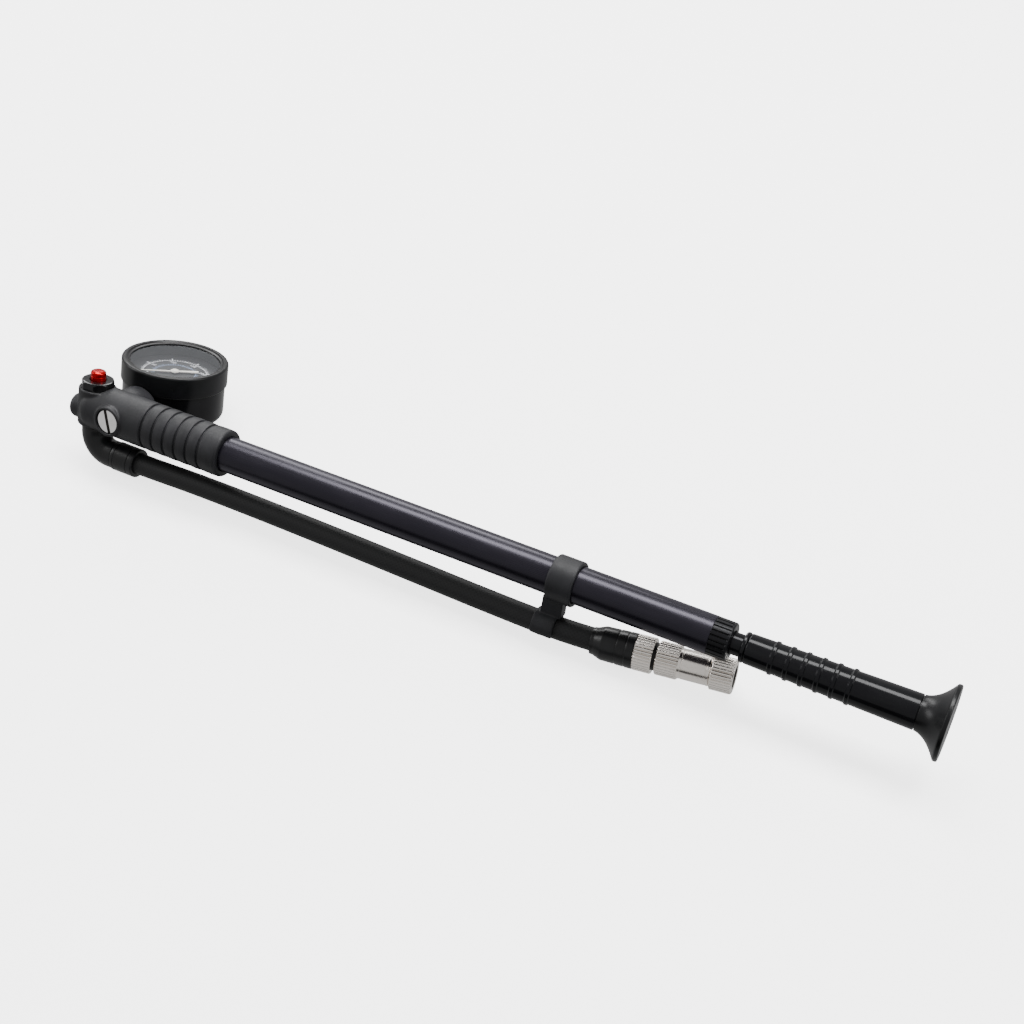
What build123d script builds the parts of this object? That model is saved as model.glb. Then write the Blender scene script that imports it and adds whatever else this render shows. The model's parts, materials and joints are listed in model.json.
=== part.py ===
from build123d import *

import os
from math import asin, atan2, cos, degrees, hypot, pi, radians, sin, tan

# Hand pump for air suspension forks and shocks: a slim barrel with a trumpet handle, a rubber-booted
# head with a gauge, a bleed button and a plug screw, and a hose that is clipped along the barrel.
#
# Everything is drawn in the pump's own frame, in millimetres: X along the barrel to the handle, Z along
# the gauge's axis to its glass, Y from the barrel to the gauge, and zero where the bleed button's axis
# crosses the barrel's. The last section turns each finished piece to the way the pump lies on a table.

os.makedirs("parts", exist_ok=True)

# Fits
running = 0.05         # radial clearance of a shaft in its hole
sealing = 0.03         # radial clearance of a ring seal in its bore
clear = 0.3            # gap between pieces that pass each other
end_gap = 0.1          # end play of a piece that turns

# Barrel
barrel_r = 7.0
barrel_wall = 1.0
barrel_start = 24.5    # where the tube butts on the head
barrel_end = 262.8
bore_r = barrel_r - barrel_wall

# Head core
core_r = 7.9
core_left = 0.0
core_boss_r = 6.0
core_top = 7.4
core_bottom = -7.2
core_spigot = 11.5     # length that plugs the barrel
duct_r = 1.25

# Check valve in the spigot
valve_bore_r = 2.6
valve_depth = 9.0
valve_seat_length = 3.0
valve_ball_r = 1.6
valve_hole_r = 1.0
spring_wire_r = 0.2
spring_coil_r = 1.2
spring_stand_off = 1.3 # from the ball's centre to the wire that carries it
spring_turns = 4       # in both springs

# Rubber boot
boot_r = 9.4
boot_end = 62.8
boot_nose = -3.6       # left end of the boot's thick barrel part
boot_nose_round = 6.5
boot_boss_r = 7.4
boot_boss_top = 8.2
boot_boss_bottom = -7.2
boot_bump_r = 5.0      # rounded blank boss at the far left
boot_bump_z = -2.3
boot_bump_end = -10.7
boot_bump_round = 2.4
boot_collar_r = 9.0    # collar round the gauge's stem
boot_collar_end = 10.8
boot_screw_r = 6.1     # lip round the plug screw
boot_screw_end = -9.9
boot_end_round = 2.0
groove_first = 28.0
groove_pitch = 5.32
groove_count = 6
groove_width = 1.1
groove_depth = 0.7

# Bleed valve, on the Z axis
nut_across = 12.2
nut_sides = 8
nut_top = 11.4
nut_flange_r = 6.6
nut_flange = 0.9
nut_chamfer = 0.4
nut_thread_r = 4.0
nut_thread_end = 3.2
nut_roof = 2.0
button_r = 3.0
button_top = 15.2
button_round = 1.2
button_travel = 2.0    # how far it goes down
button_flange_r = 3.6
button_flange = 1.2
bleed_pin_r = 0.8
bleed_seat_r = 3.0
bleed_seat_z = 2.0
bleed_seat_height = 1.0
bleed_disc_r = 1.9
bleed_disc = 0.7
bleed_chamber_r = 2.4
bleed_spring_r = 2.5
bleed_wire_r = 0.25

# Plug screw, on the near side of the cross axis
cross_x = 12.5
screw_head_r = 4.87
screw_face = -9.4
screw_head = 2.4
screw_shank_r = 3.2
screw_shank_end = -3.2
screw_slot = 1.4
screw_slot_depth = 1.2
screw_slot_tilt = -16.0
screw_round = 0.35
screw_ring = 0.9

# Gauge, on its own vertical axis
gauge_y = 32.5
case_r = 20.6
case_wall = 1.5
case_bottom = -8.4
case_top = 8.1
case_round = 2.8
bezel_r = 21.4
bezel_bottom = 6.0
bezel_top = 15.0
bezel_round = 0.9
bezel_opening_r = 17.8
bezel_bevel = 1.1
dial_thickness = 0.6
dial_margin = 0.7
spacer_height = 3.9
lens_thickness = 1.2
needle_tip = 13.5
needle_tail = 9.5
needle_hub_r = 1.7
needle_thickness = 0.4
needle_lift = 0.6      # height of the needle over the dial
needle_angle = 221.0   # where the needle points with no pressure
needle_tip_width = 0.24
needle_root_width = 1.1
needle_tail_root_width = 1.0
needle_tail_width = 1.8
staff_r = 0.5
pinion_r = 1.0
sector_r = 10.0
sector_swing = 27.0
sector_margin = 4.0
sector_hub_r = 1.8
movement_z = 1.2
movement_plate = 1.2
movement_width = 7.0
movement_bridge = 22.0
movement_bridge_width = 5.0
movement_post_r = 1.6
movement_post_x = 9.0  # from the middle of the bridge
sector_thickness = 0.8
bourdon_r = 14.4
bourdon_width = 1.4
bourdon_height = 4.0
bourdon_round = 0.6
bourdon_z = -5.4
bourdon_sweep = 250.0
stem_r = 4.0
stem_start = 3.4
stem_flange_r = 5.4
stem_block = 7.0
stem_block_depth = 5.0

# Elbow under the head
elbow_r = 5.6
elbow_top = -7.9
elbow_z = -18.2        # centre line of its level leg
elbow_bend = 8.0
elbow_neck_r = 4.0
elbow_neck_top = -3.6
swivel_r = 6.0

# Hose, and the ferrule that crimps it to the elbow
hose_r = 4.3
hose_bore_r = 1.5
ferrule_wall = 1.55
ferrule_r = hose_r + ferrule_wall
ferrule_start = 11.2
ferrule_end = 22.0
ferrule_round = 1.2
ferrule_ring = 19.2    # start of the shallow band at its open end
ferrule_ring_depth = 0.25
hose_start = 14.5
hose_straight = 4.0    # its straight run before the chuck

# Clip that holds the hose to the barrel
clip_start = 202.2
clip_width = 10.0
clip_ring_wall = 1.5
clip_ring_r = barrel_r + clip_ring_wall
clip_hook_start = 198.8
clip_hook_width = 8.6
clip_web_start = 200.4
clip_web_length = 8.0
clip_hose_wall = 1.2
clip_slack = 0.15
clip_web = 5.0
clip_lip = 2.2         # how far its two lips reach below the hose's centre

# Chuck, on an axis that leans a little up and away from the hose's line
chuck_x = 221.1
chuck_z = -19.0
chuck_rise = 3.5       # degrees towards the barrel
chuck_yaw = 6.46       # degrees towards the gauge side
sleeve_length = 16.0
sleeve_r = 6.5
sleeve_lip = 0.45      # wall at its thin end
sleeve_taper = 4.2
sleeve_step = 0.3
coupling_length = 6.8
coupling_r = 6.5
hose_in_coupling = 4.0
spindle_r = 3.0
spindle_length = 8.0
swivel_gap = 1.3
swivel_ring_r = 5.0
chuck_collar = 8.0
chuck_collar_r = 6.15
chuck_stem = 11.4
chuck_stem_r = 5.5
chuck_stem_round = 0.5
chuck_neck_gap = 0.3
chuck_nut_length = 8.0
chuck_nut_r = 6.35
chuck_nose_r = 4.6
chuck_nose = 2.3
thread_r = 3.85
seal_thickness = 1.0
seal_r = 3.6
pin_r = 0.7
pin_length = 3.0
duct_small_r = 1.0
knurl_pitch = 1.32
knurl_depth = 0.28

# Gland at the open end of the barrel
gland_step = 0.05      # how far it stands inside the tube's skin
gland_r = barrel_r - gland_step
gland_head = 7.0
gland_spigot = 10.8
gland_ribs = 24
gland_rib_depth = 0.45
bush_r = 5.2
bush_length = 9.0
wiper_length = 3.0
bumper_length = 3.0

# Piston, rod and handle, as they stand a little short of fully home
rod_r = 4.0
rod_bore_r = 2.4
rod_solid = 4.0        # solid length behind the piston
home_gap = 3.8         # left between handle and gland
piston_gap = 3.8       # left between piston and head
piston_length = 12.0
piston_nut = 2.5
nut_sink = 0.5         # depth of the rod's nut in the piston's face
seal_from_face = 5.0
piston_nut_r = 3.7
journal_r = 2.5
seal_groove_r = 4.7
seal_width = 2.2
ring_r = 5.5
ring_length = 1.7
ring_round = 0.5
grip_small_r = 5.4
grip_large_r = 6.3
grip_length = 59.4
grip_socket = 18.0
rib_first = 9.5
rib_pitch = 5.4
rib_count = 6
rib_height = 0.42
rib_width = 1.5
cap_length = 10.3
cap_neck_r = 6.2
cap_rim_r = 13.3
cap_rim = 1.7
cap_rim_round = 0.6
cap_waist = 4.7        # a point the trumpet's curve goes through
cap_waist_r = 8.1
cap_flare = 0.62       # run per rise of the trumpet at its rim
cap_edge = 0.4
cap_spigot_r = 4.6
cap_spigot = 8.0

# Planes and axes that several pieces share
gauge_axis = Axis((cross_x, gauge_y, 0), (0, 0, 1))
gauge_side = Plane(origin=(cross_x, gauge_y, 0), x_dir=(1, 0, 0), z_dir=(0, -1, 0))
chuck_direction = Vector(
    cos(radians(chuck_rise)) * cos(radians(chuck_yaw)),
    cos(radians(chuck_rise)) * sin(radians(chuck_yaw)),
    sin(radians(chuck_rise)),
)
chuck_side = Plane(origin=(chuck_x, 0, chuck_z), x_dir=chuck_direction, z_dir=(0, -1, 0.1))
chuck_axis = Axis((chuck_x, 0, chuck_z), chuck_direction)
chuck_frame = Plane(origin=chuck_side.origin, z_dir=chuck_direction)


def across_cross(y):
    """The plane square to the cross axis at y, looking out to the gauge side."""
    return Plane(origin=(cross_x, y, 0), x_dir=(-1, 0, 0), z_dir=(0, 1, 0))


def turned_on(plane, start, end, radius, hole=0.0):
    """Add a round bar or ring on the plane's normal, from start to end along it."""
    with BuildSketch(plane.offset(start)) as section:
        Circle(radius)
        if hole > 0:
            Circle(hole, mode=Mode.SUBTRACT)
    extrude(section.sketch, amount=end - start)


def bored_on(plane, start, end, radius):
    """Cut a round hole on the plane's normal, from start to end along it."""
    with BuildSketch(plane.offset(start)) as section:
        Circle(radius)
    extrude(section.sketch, amount=end - start, mode=Mode.SUBTRACT)


def ribbed_on(plane, start, end, radius, hole, ribs, depth):
    """Add a ring with straight ribs along it."""
    with BuildSketch(plane.offset(start)) as section:
        Circle(radius)
        with PolarLocations(radius, ribs):
            RegularPolygon(depth, 4, mode=Mode.SUBTRACT)
        Circle(hole, mode=Mode.SUBTRACT)
    extrude(section.sketch, amount=end - start)


def knurls(radius):
    """How many ridges of the common pitch go round this radius."""
    return round(2 * pi * radius / knurl_pitch)


# ---- Barrel ------------------------------------------------------------------------------------

with BuildPart() as barrel_tube:
    turned_on(Plane.YZ, barrel_start, barrel_end, barrel_r, bore_r)

# ---- Head --------------------------------------------------------------------------------------

spigot_end = barrel_start + core_spigot
screw_seat = screw_face + screw_head
core_cross = screw_seat + screw_ring
bleed_seat_top = bleed_seat_z + bleed_seat_height
bleed_chamber_z = bleed_seat_z - 2 * bleed_disc - button_travel - clear

with BuildPart() as head_core:
    turned_on(Plane.YZ, core_left, barrel_start, core_r)
    turned_on(Plane.YZ, barrel_start, spigot_end, bore_r)
    turned_on(Plane.XY, core_bottom, core_top, core_boss_r)
    bored_on(Plane.YZ, 0, spigot_end, duct_r)
    bored_on(Plane.YZ, spigot_end - valve_depth, spigot_end, valve_bore_r)
    bored_on(Plane.XY, elbow_neck_top, 0, duct_r)
    bored_on(Plane.XY, core_bottom, elbow_neck_top, elbow_neck_r)
    bored_on(Plane.XY, bleed_chamber_z, bleed_seat_z, bleed_chamber_r)
    bored_on(Plane.XY, bleed_seat_z, bleed_seat_top, bleed_seat_r)
    bored_on(Plane.XY, bleed_seat_top, core_top, nut_thread_r)
    bored_on(Plane.XY, core_top, core_r, nut_flange_r)
    bored_on(Plane.XY, -core_r, core_bottom, swivel_r + clear)
    bored_on(across_cross(0), stem_start, core_r, stem_r)
    bored_on(across_cross(0), screw_shank_end, stem_start, duct_r)
    bored_on(across_cross(0), core_cross, screw_shank_end, screw_shank_r)
    bored_on(across_cross(0), -core_r, core_cross, screw_head_r)

with BuildPart() as head_boot:
    turned_on(Plane.YZ, boot_nose, boot_end, boot_r)
    fillet(head_boot.edges().filter_by(GeomType.CIRCLE).sort_by(Axis.X)[0], boot_nose_round)
    fillet(head_boot.edges().filter_by(GeomType.CIRCLE).sort_by(Axis.X)[-1], boot_end_round)
    turned_on(Plane.XY, boot_boss_bottom, boot_boss_top, boot_boss_r)
    bump_plane = Plane(origin=(boot_bump_end, 0, boot_bump_z), x_dir=(0, 1, 0), z_dir=(1, 0, 0))
    with BuildSketch(bump_plane):
        Circle(boot_bump_r)
    extrude(amount=-boot_bump_end)
    fillet(head_boot.edges().filter_by(GeomType.CIRCLE).sort_by(Axis.X)[0], boot_bump_round)
    turned_on(across_cross(0), 0, boot_collar_end, boot_collar_r)
    turned_on(across_cross(boot_screw_end), 0, -boot_screw_end, boot_screw_r)
    for ring in range(groove_count):
        groove = groove_first + ring * groove_pitch - groove_width / 2
        with BuildSketch(Plane.YZ.offset(groove)):
            Circle(boot_r)
            Circle(boot_r - groove_depth, mode=Mode.SUBTRACT)
        extrude(amount=groove_width, mode=Mode.SUBTRACT)
    bored_on(Plane.YZ, core_left, barrel_start, core_r)
    bored_on(Plane.YZ, barrel_start, boot_end, barrel_r)
    bored_on(Plane.XY, boot_boss_bottom, boot_boss_top, core_boss_r)
    bored_on(Plane.XY, core_top, boot_r, nut_flange_r)
    bored_on(Plane.XY, -boot_r, boot_boss_bottom, swivel_r + clear)
    bored_on(across_cross(0), stem_start, boot_collar_end, stem_r)
    bored_on(across_cross(boot_screw_end), 0, core_r, screw_head_r)

# ---- Check valve -------------------------------------------------------------------------------

valve_seat_start = spigot_end - valve_seat_length
valve_ball_x = valve_seat_start - (valve_ball_r**2 - valve_hole_r**2) ** 0.5 - running
valve_floor = spigot_end - valve_depth

with BuildPart() as valve_seat:
    turned_on(Plane.YZ, valve_seat_start, spigot_end, valve_bore_r, valve_hole_r)

with BuildPart() as valve_ball:
    with BuildSketch(Plane.XZ):
        with Locations((valve_ball_x, 0)):
            Circle(valve_ball_r)
        with Locations((valve_ball_x, -valve_ball_r)):
            Rectangle(2 * valve_ball_r, 2 * valve_ball_r, mode=Mode.SUBTRACT)
    revolve(axis=Axis.X)

with BuildPart() as valve_spring:
    spring_length = valve_ball_x - spring_stand_off - valve_floor - 2 * spring_wire_r
    with BuildLine() as coil:
        Helix(
            pitch=spring_length / spring_turns,
            height=spring_length,
            radius=spring_coil_r,
            center=(valve_floor + spring_wire_r, 0, 0),
            direction=(1, 0, 0),
        )
    with BuildSketch(Plane(origin=coil.line @ 0, z_dir=coil.line % 0)):
        Circle(spring_wire_r)
    sweep(is_frenet=True)

# ---- Bleed valve -------------------------------------------------------------------------------

button_shoulder = nut_top - nut_roof
button_foot = button_shoulder - button_flange
disc_top = bleed_seat_z - running

with BuildPart() as bleed_nut:
    turned_on(Plane.XY, core_top, core_top + nut_flange, nut_flange_r)
    with BuildSketch(Plane.XY.offset(core_top + nut_flange)):
        RegularPolygon(nut_across / 2, nut_sides, major_radius=False, rotation=180 / nut_sides)
    extrude(amount=nut_top - core_top - nut_flange)
    chamfer(bleed_nut.faces().sort_by(Axis.Z)[-1].edges(), nut_chamfer)
    turned_on(Plane.XY, nut_thread_end, core_top, nut_thread_r)
    bored_on(Plane.XY, nut_thread_end, nut_top, button_r + running)
    bored_on(Plane.XY, nut_thread_end, button_shoulder, button_flange_r - running)

with BuildPart() as bleed_button:
    turned_on(Plane.XY, button_foot, button_top, button_r)
    fillet(bleed_button.edges().filter_by(GeomType.CIRCLE).sort_by(Axis.Z)[-1], button_round)
    turned_on(Plane.XY, button_foot, button_shoulder - running, button_flange_r - 2 * running)

with BuildPart() as bleed_pin:
    turned_on(Plane.XY, disc_top - bleed_disc, button_foot, bleed_pin_r)
    turned_on(Plane.XY, disc_top - 2 * bleed_disc, disc_top - bleed_disc, bleed_disc_r)

with BuildPart() as bleed_seal:
    turned_on(Plane.XY, disc_top - bleed_disc, disc_top, bleed_disc_r, bleed_pin_r)

with BuildPart() as bleed_seat:
    turned_on(Plane.XY, bleed_seat_z, bleed_seat_top, bleed_seat_r, bleed_pin_r + clear)

with BuildPart() as bleed_spring:
    coil_height = button_foot - bleed_seat_top - 2 * bleed_wire_r - 2 * running
    with BuildLine() as coil:
        Helix(
            pitch=coil_height / spring_turns,
            height=coil_height,
            radius=bleed_spring_r,
            center=(0, 0, bleed_seat_top + bleed_wire_r + running),
        )
    with BuildSketch(Plane(origin=coil.line @ 0, z_dir=coil.line % 0)):
        Circle(bleed_wire_r)
    sweep(is_frenet=True)

# ---- Plug screw --------------------------------------------------------------------------------

with BuildPart() as plug_screw:
    turned_on(across_cross(screw_face), 0, screw_head, screw_head_r)
    fillet(plug_screw.edges().filter_by(GeomType.CIRCLE).sort_by(Axis.Y)[0], screw_round)
    turned_on(across_cross(screw_seat), 0, screw_shank_end - screw_seat, screw_shank_r)
    with BuildSketch(across_cross(screw_face)):
        Rectangle(screw_slot, 3 * screw_head_r, rotation=screw_slot_tilt)
    extrude(amount=screw_slot_depth, mode=Mode.SUBTRACT)

with BuildPart() as plug_ring:
    turned_on(across_cross(screw_seat), 0, screw_ring, screw_head_r - running, screw_shank_r)

# ---- Gauge -------------------------------------------------------------------------------------

case_bore_r = case_r - case_wall
case_floor = case_bottom + case_wall
dial_top = case_top + dial_thickness
spacer_top = dial_top + spacer_height
lens_top = spacer_top + lens_thickness
sector_reach = sector_r + pinion_r + running
sector_y = gauge_y + sector_reach
plate_top = movement_z + movement_plate
sector_z = plate_top + running
pinion_z = plate_top + running
gauge_plane = Plane(origin=(cross_x, gauge_y, 0), x_dir=(1, 0, 0), z_dir=(0, 0, 1))
sector_plane = Plane(origin=(cross_x, sector_y, 0), x_dir=(1, 0, 0), z_dir=(0, 0, 1))
wall_y = gauge_y - case_r

with BuildPart() as gauge_case:
    turned_on(gauge_plane, case_bottom, case_top, case_r)
    fillet(gauge_case.edges().filter_by(GeomType.CIRCLE).sort_by(Axis.Z)[0], case_round)
    bored_on(gauge_plane, case_floor, case_top, case_bore_r)
    bored_on(across_cross(wall_y - case_wall), 0, 3 * case_wall, stem_r)

with BuildPart() as gauge_bezel:
    with BuildSketch(gauge_side):
        with BuildLine():
            Polyline(
                (case_r, bezel_bottom),
                (bezel_r, bezel_bottom),
                (bezel_r, bezel_top),
                (bezel_opening_r + bezel_bevel, bezel_top),
                (bezel_opening_r, lens_top),
                (case_r, lens_top),
                close=True,
            )
        make_face()
    revolve(axis=gauge_axis)
    rim = gauge_bezel.edges().filter_by(GeomType.CIRCLE).group_by(Axis.Z)[-1].sort_by(SortBy.RADIUS)[-1]
    fillet(rim, bezel_round)
    foot = gauge_bezel.edges().filter_by(GeomType.CIRCLE).group_by(Axis.Z)[0].sort_by(SortBy.RADIUS)[-1]
    chamfer(foot, bezel_round / 2)

with BuildPart() as gauge_dial:
    turned_on(gauge_plane, case_top, dial_top, case_r - dial_margin, staff_r + clear)

with BuildPart() as gauge_spacer:
    turned_on(gauge_plane, dial_top, spacer_top, case_r - running, case_bore_r)

with BuildPart() as gauge_lens:
    turned_on(gauge_plane, spacer_top, lens_top, case_r - running)

with BuildPart() as gauge_plate:
    with BuildSketch(gauge_plane.offset(movement_z)):
        with Locations((0, sector_reach / 2)):
            SlotCenterToCenter(sector_reach, movement_width, rotation=90)
            Rectangle(movement_bridge, movement_bridge_width)
        Circle(staff_r + running, mode=Mode.SUBTRACT)
    extrude(amount=movement_plate)
    with BuildSketch(gauge_plane.offset(case_floor)):
        with Locations((-movement_post_x, sector_reach / 2), (movement_post_x, sector_reach / 2)):
            Circle(movement_post_r)
    extrude(amount=movement_z - case_floor)
    turned_on(sector_plane, plate_top, plate_top + 2 * sector_thickness, staff_r)

with BuildPart() as gauge_sector:
    fan = sector_swing + 2 * sector_margin
    with BuildSketch(sector_plane.offset(sector_z)) as sector_outline:
        with BuildLine():
            rim_arc = CenterArc((0, 0), sector_r, 270 - sector_swing - sector_margin, fan)
            Polyline(rim_arc @ 1, (0, 0), rim_arc @ 0)
        make_face()
        Circle(sector_hub_r)
        Circle(staff_r + running, mode=Mode.SUBTRACT)
    extrude(amount=sector_thickness)

with BuildPart() as needle_staff:
    turned_on(gauge_plane, movement_z, dial_top + needle_lift, staff_r)
    turned_on(gauge_plane, pinion_z, pinion_z + sector_thickness, pinion_r)


def tapering(length, root_width, end_width):
    """The corners of a flat arm along X from zero, as wide as this at its root and at its end."""
    return [
        (0, root_width / 2),
        (length, end_width / 2),
        (length, -end_width / 2),
        (0, -root_width / 2),
    ]


with BuildPart() as gauge_needle:
    needle_z = dial_top + needle_lift
    with BuildSketch(gauge_plane.offset(needle_z)):
        Circle(needle_hub_r)
        with BuildLine(Plane.XY.rotated((0, 0, needle_angle))):
            Polyline(*tapering(needle_tip, needle_root_width, needle_tip_width), close=True)
        make_face()
        with BuildLine(Plane.XY.rotated((0, 0, needle_angle + 180))):
            Polyline(*tapering(needle_tail, needle_tail_root_width, needle_tail_width), close=True)
        make_face()
    extrude(amount=needle_thickness)
    turned_on(gauge_plane, needle_z + needle_thickness, needle_z + 2 * needle_thickness, needle_hub_r * 0.75)

toward_stem = Plane(origin=gauge_axis.position, x_dir=(0, -1, 0), z_dir=(-1, 0, 0))
block_start = wall_y + 1.5 * case_wall

with BuildPart() as bourdon_tube:
    with BuildSketch(toward_stem):
        with Locations((bourdon_r, bourdon_z + bourdon_height / 2)):
            RectangleRounded(bourdon_width, bourdon_height, bourdon_round)
    revolve(axis=gauge_axis, revolution_arc=bourdon_sweep)
    with BuildSketch(across_cross(block_start)):
        Rectangle(stem_block, stem_block)
    extrude(amount=stem_block_depth, mode=Mode.SUBTRACT)

with BuildPart() as gauge_stem:
    turned_on(across_cross(stem_start), 0, block_start - stem_start, stem_r)
    turned_on(across_cross(boot_collar_end), 0, wall_y - boot_collar_end, stem_flange_r)
    with BuildSketch(across_cross(block_start)):
        Rectangle(stem_block, stem_block)
    extrude(amount=stem_block_depth)
    bored_on(across_cross(stem_start), 0, wall_y + 2 * case_wall - stem_start, duct_r)

# ---- Elbow and hose ----------------------------------------------------------------------------

bend_start = elbow_z + elbow_bend
elbow_plane = Plane(origin=(0, 0, elbow_z), x_dir=(0, 1, 0), z_dir=(1, 0, 0))

with BuildPart() as swivel_ring:
    turned_on(Plane.XY, elbow_top, core_bottom, swivel_r, elbow_neck_r)

with BuildPart() as hose_elbow:
    turned_on(Plane.XY, elbow_top, elbow_neck_top, elbow_neck_r)
    turned_on(Plane.XY, bend_start, elbow_top, elbow_r)
    with BuildSketch(Plane.XY.offset(bend_start)):
        Circle(elbow_r)
    revolve(axis=Axis((elbow_bend, 0, bend_start), (0, 1, 0)), revolution_arc=-90)
    turned_on(elbow_plane, elbow_bend, ferrule_start, elbow_r)
    turned_on(elbow_plane, ferrule_start, hose_start, hose_r - clear)

with BuildPart() as hose_ferrule:
    turned_on(elbow_plane, ferrule_start, ferrule_end, ferrule_r, hose_r)
    ferrule_rims = hose_ferrule.edges().filter_by(GeomType.CIRCLE).group_by(SortBy.RADIUS)[-1]
    fillet(ferrule_rims.sort_by(Axis.X)[-1], ferrule_round)
    fillet(ferrule_rims.sort_by(Axis.X)[0], ferrule_ring_depth)
    with BuildSketch(elbow_plane.offset(ferrule_ring)):
        Circle(ferrule_r)
        Circle(ferrule_r - ferrule_ring_depth, mode=Mode.SUBTRACT)
    extrude(amount=2 * ferrule_ring_depth, mode=Mode.SUBTRACT)

hose_in_chuck = sleeve_length + hose_in_coupling
hose_last = chuck_axis.position + chuck_direction * hose_in_chuck
hose_corner = chuck_axis.position - chuck_direction * hose_straight
hose_route = [
    Vector(hose_start, 0, elbow_z),
    Vector(27.0, 0, elbow_z),
    Vector(50.0, 0, -17.4),
    Vector(92.0, 0, -17.6),
    Vector(140.0, 0, -18.5),
    Vector(186.0, 0, -19.6),
    hose_corner,
    hose_last,
]


def bend_radii(route):
    """The largest radius for each corner: 0.45 of its shorter run over the tangent of half the turn."""
    radii = []
    for before, corner, after in zip(route, route[1:], route[2:]):
        turn = (corner - before).get_angle(after - corner)
        shorter = min((corner - before).length, (after - corner).length)
        radii.append(0.45 * shorter / tan(radians(turn) / 2))
    return radii


hose_radii = bend_radii(hose_route)
with BuildPart() as hose:
    with BuildLine() as hose_path:
        FilletPolyline(*hose_route, radius=hose_radii)
    with BuildSketch(Plane(origin=hose_path.line @ 0, z_dir=hose_path.line % 0)):
        Circle(hose_r)
        Circle(hose_bore_r, mode=Mode.SUBTRACT)
    sweep()

clip_hose_r = hose_r + clip_slack
clip_outer_r = clip_hose_r + clip_hose_wall
hook_share = (clip_hook_start + clip_hook_width / 2 - hose_route[-3].X) / (hose_corner.X - hose_route[-3].X)
hook_centre = hose_route[-3] + (hose_corner - hose_route[-3]) * hook_share
hook_plane = Plane(origin=hook_centre, x_dir=(0, 1, 0), z_dir=hose_corner - hose_route[-3])

with BuildPart() as hose_clip:
    turned_on(Plane.YZ, clip_start, clip_start + clip_width, clip_ring_r)
    with BuildSketch(Plane.YZ.offset(clip_web_start)):
        with Locations((0, hook_centre.Z / 2)):
            Rectangle(clip_web, -hook_centre.Z)
    extrude(amount=clip_web_length)
    turned_on(hook_plane, -clip_hook_width / 2, clip_hook_width / 2, clip_outer_r)
    bored_on(hook_plane, -clip_hook_width, clip_hook_width, clip_hose_r)
    bored_on(Plane.YZ, clip_web_start, clip_start + clip_width, barrel_r)
    with BuildSketch(hook_plane.offset(-clip_hook_width)):
        with Locations((0, -clip_lip - clip_outer_r)):
            Rectangle(3 * clip_outer_r, 2 * clip_outer_r)
    extrude(amount=2 * clip_hook_width, mode=Mode.SUBTRACT)

# ---- Chuck -------------------------------------------------------------------------------------

coupling_end = sleeve_length + coupling_length
collar_start = coupling_end + swivel_gap
spindle_end = coupling_end + spindle_length
stem_from = collar_start + chuck_collar
stem_to = stem_from + chuck_stem
nut_from = stem_to + chuck_neck_gap
nut_to = nut_from + chuck_nut_length
nose_to = nut_from + chuck_nose
thread_from = nose_to + end_gap
seal_from = nose_to - seal_thickness

sleeve_bore_r = hose_r + clip_slack
sleeve_lip_r = sleeve_bore_r + sleeve_lip

with BuildPart() as hose_sleeve:
    with BuildSketch(chuck_side):
        with BuildLine():
            Polyline(
                (0, sleeve_bore_r),
                (0, sleeve_lip_r),
                (0.4 * sleeve_taper, sleeve_lip_r + sleeve_step),
                (sleeve_taper, sleeve_r - sleeve_step),
                (sleeve_length, sleeve_r),
                (sleeve_length, sleeve_bore_r),
                close=True,
            )
        make_face()
    revolve(axis=chuck_axis)

with BuildPart() as hose_coupling:
    ribbed_on(
        chuck_frame, sleeve_length, coupling_end, coupling_r, hose_r, knurls(coupling_r), knurl_depth,
    )
    turned_on(chuck_frame, hose_in_chuck, coupling_end, hose_r + knurl_depth)
    turned_on(chuck_frame, coupling_end, spindle_end, spindle_r)
    bored_on(chuck_frame, hose_in_chuck, spindle_end, duct_small_r)

with BuildPart() as swivel_seal:
    turned_on(chuck_frame, coupling_end, collar_start - end_gap, swivel_ring_r, spindle_r)

with BuildPart() as chuck_body:
    ribbed_on(
        chuck_frame, collar_start, stem_from, chuck_collar_r, spindle_r + running,
        knurls(chuck_collar_r), knurl_depth,
    )
    turned_on(chuck_frame, stem_from, stem_to, chuck_stem_r)
    fillet(chuck_body.edges().filter_by(GeomType.CIRCLE).sort_by(Axis.X)[-1], chuck_stem_round)
    turned_on(chuck_frame, stem_to, nose_to, chuck_nose_r)
    bored_on(chuck_frame, stem_from, spindle_end + end_gap, spindle_r + running)
    bored_on(chuck_frame, spindle_end, nose_to, duct_small_r)
    bored_on(chuck_frame, seal_from, nose_to, seal_r)

with BuildPart() as chuck_pin:
    turned_on(chuck_frame, seal_from, nose_to - end_gap, pin_r)
    turned_on(chuck_frame, seal_from - pin_length, seal_from, duct_small_r)

with BuildPart() as chuck_seal:
    turned_on(chuck_frame, seal_from, nose_to, seal_r, pin_r + clear)

with BuildPart() as chuck_nut:
    ribbed_on(chuck_frame, nut_from, nut_to, chuck_nut_r, thread_r, knurls(chuck_nut_r), knurl_depth)
    bored_on(chuck_frame, nut_from, thread_from, chuck_nose_r + running)

# ---- Gland at the barrel's open end ------------------------------------------------------------

gland_end = barrel_end + gland_head
gland_start = barrel_end - gland_spigot
bush_end = gland_start + bush_length
wiper_end = bush_end + wiper_length

with BuildPart() as barrel_gland:
    turned_on(Plane.YZ, gland_start, barrel_end, bore_r, bush_r)
    ribbed_on(Plane.YZ, barrel_end, gland_end, gland_r, rod_r + clear, gland_ribs, gland_rib_depth)
    bored_on(Plane.YZ, barrel_end, wiper_end, bush_r)

with BuildPart() as rod_bush:
    turned_on(Plane.YZ, gland_start, bush_end, bush_r, rod_r + running)

with BuildPart() as rod_wiper:
    turned_on(Plane.YZ, bush_end, wiper_end, bush_r, rod_r + running)

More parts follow.
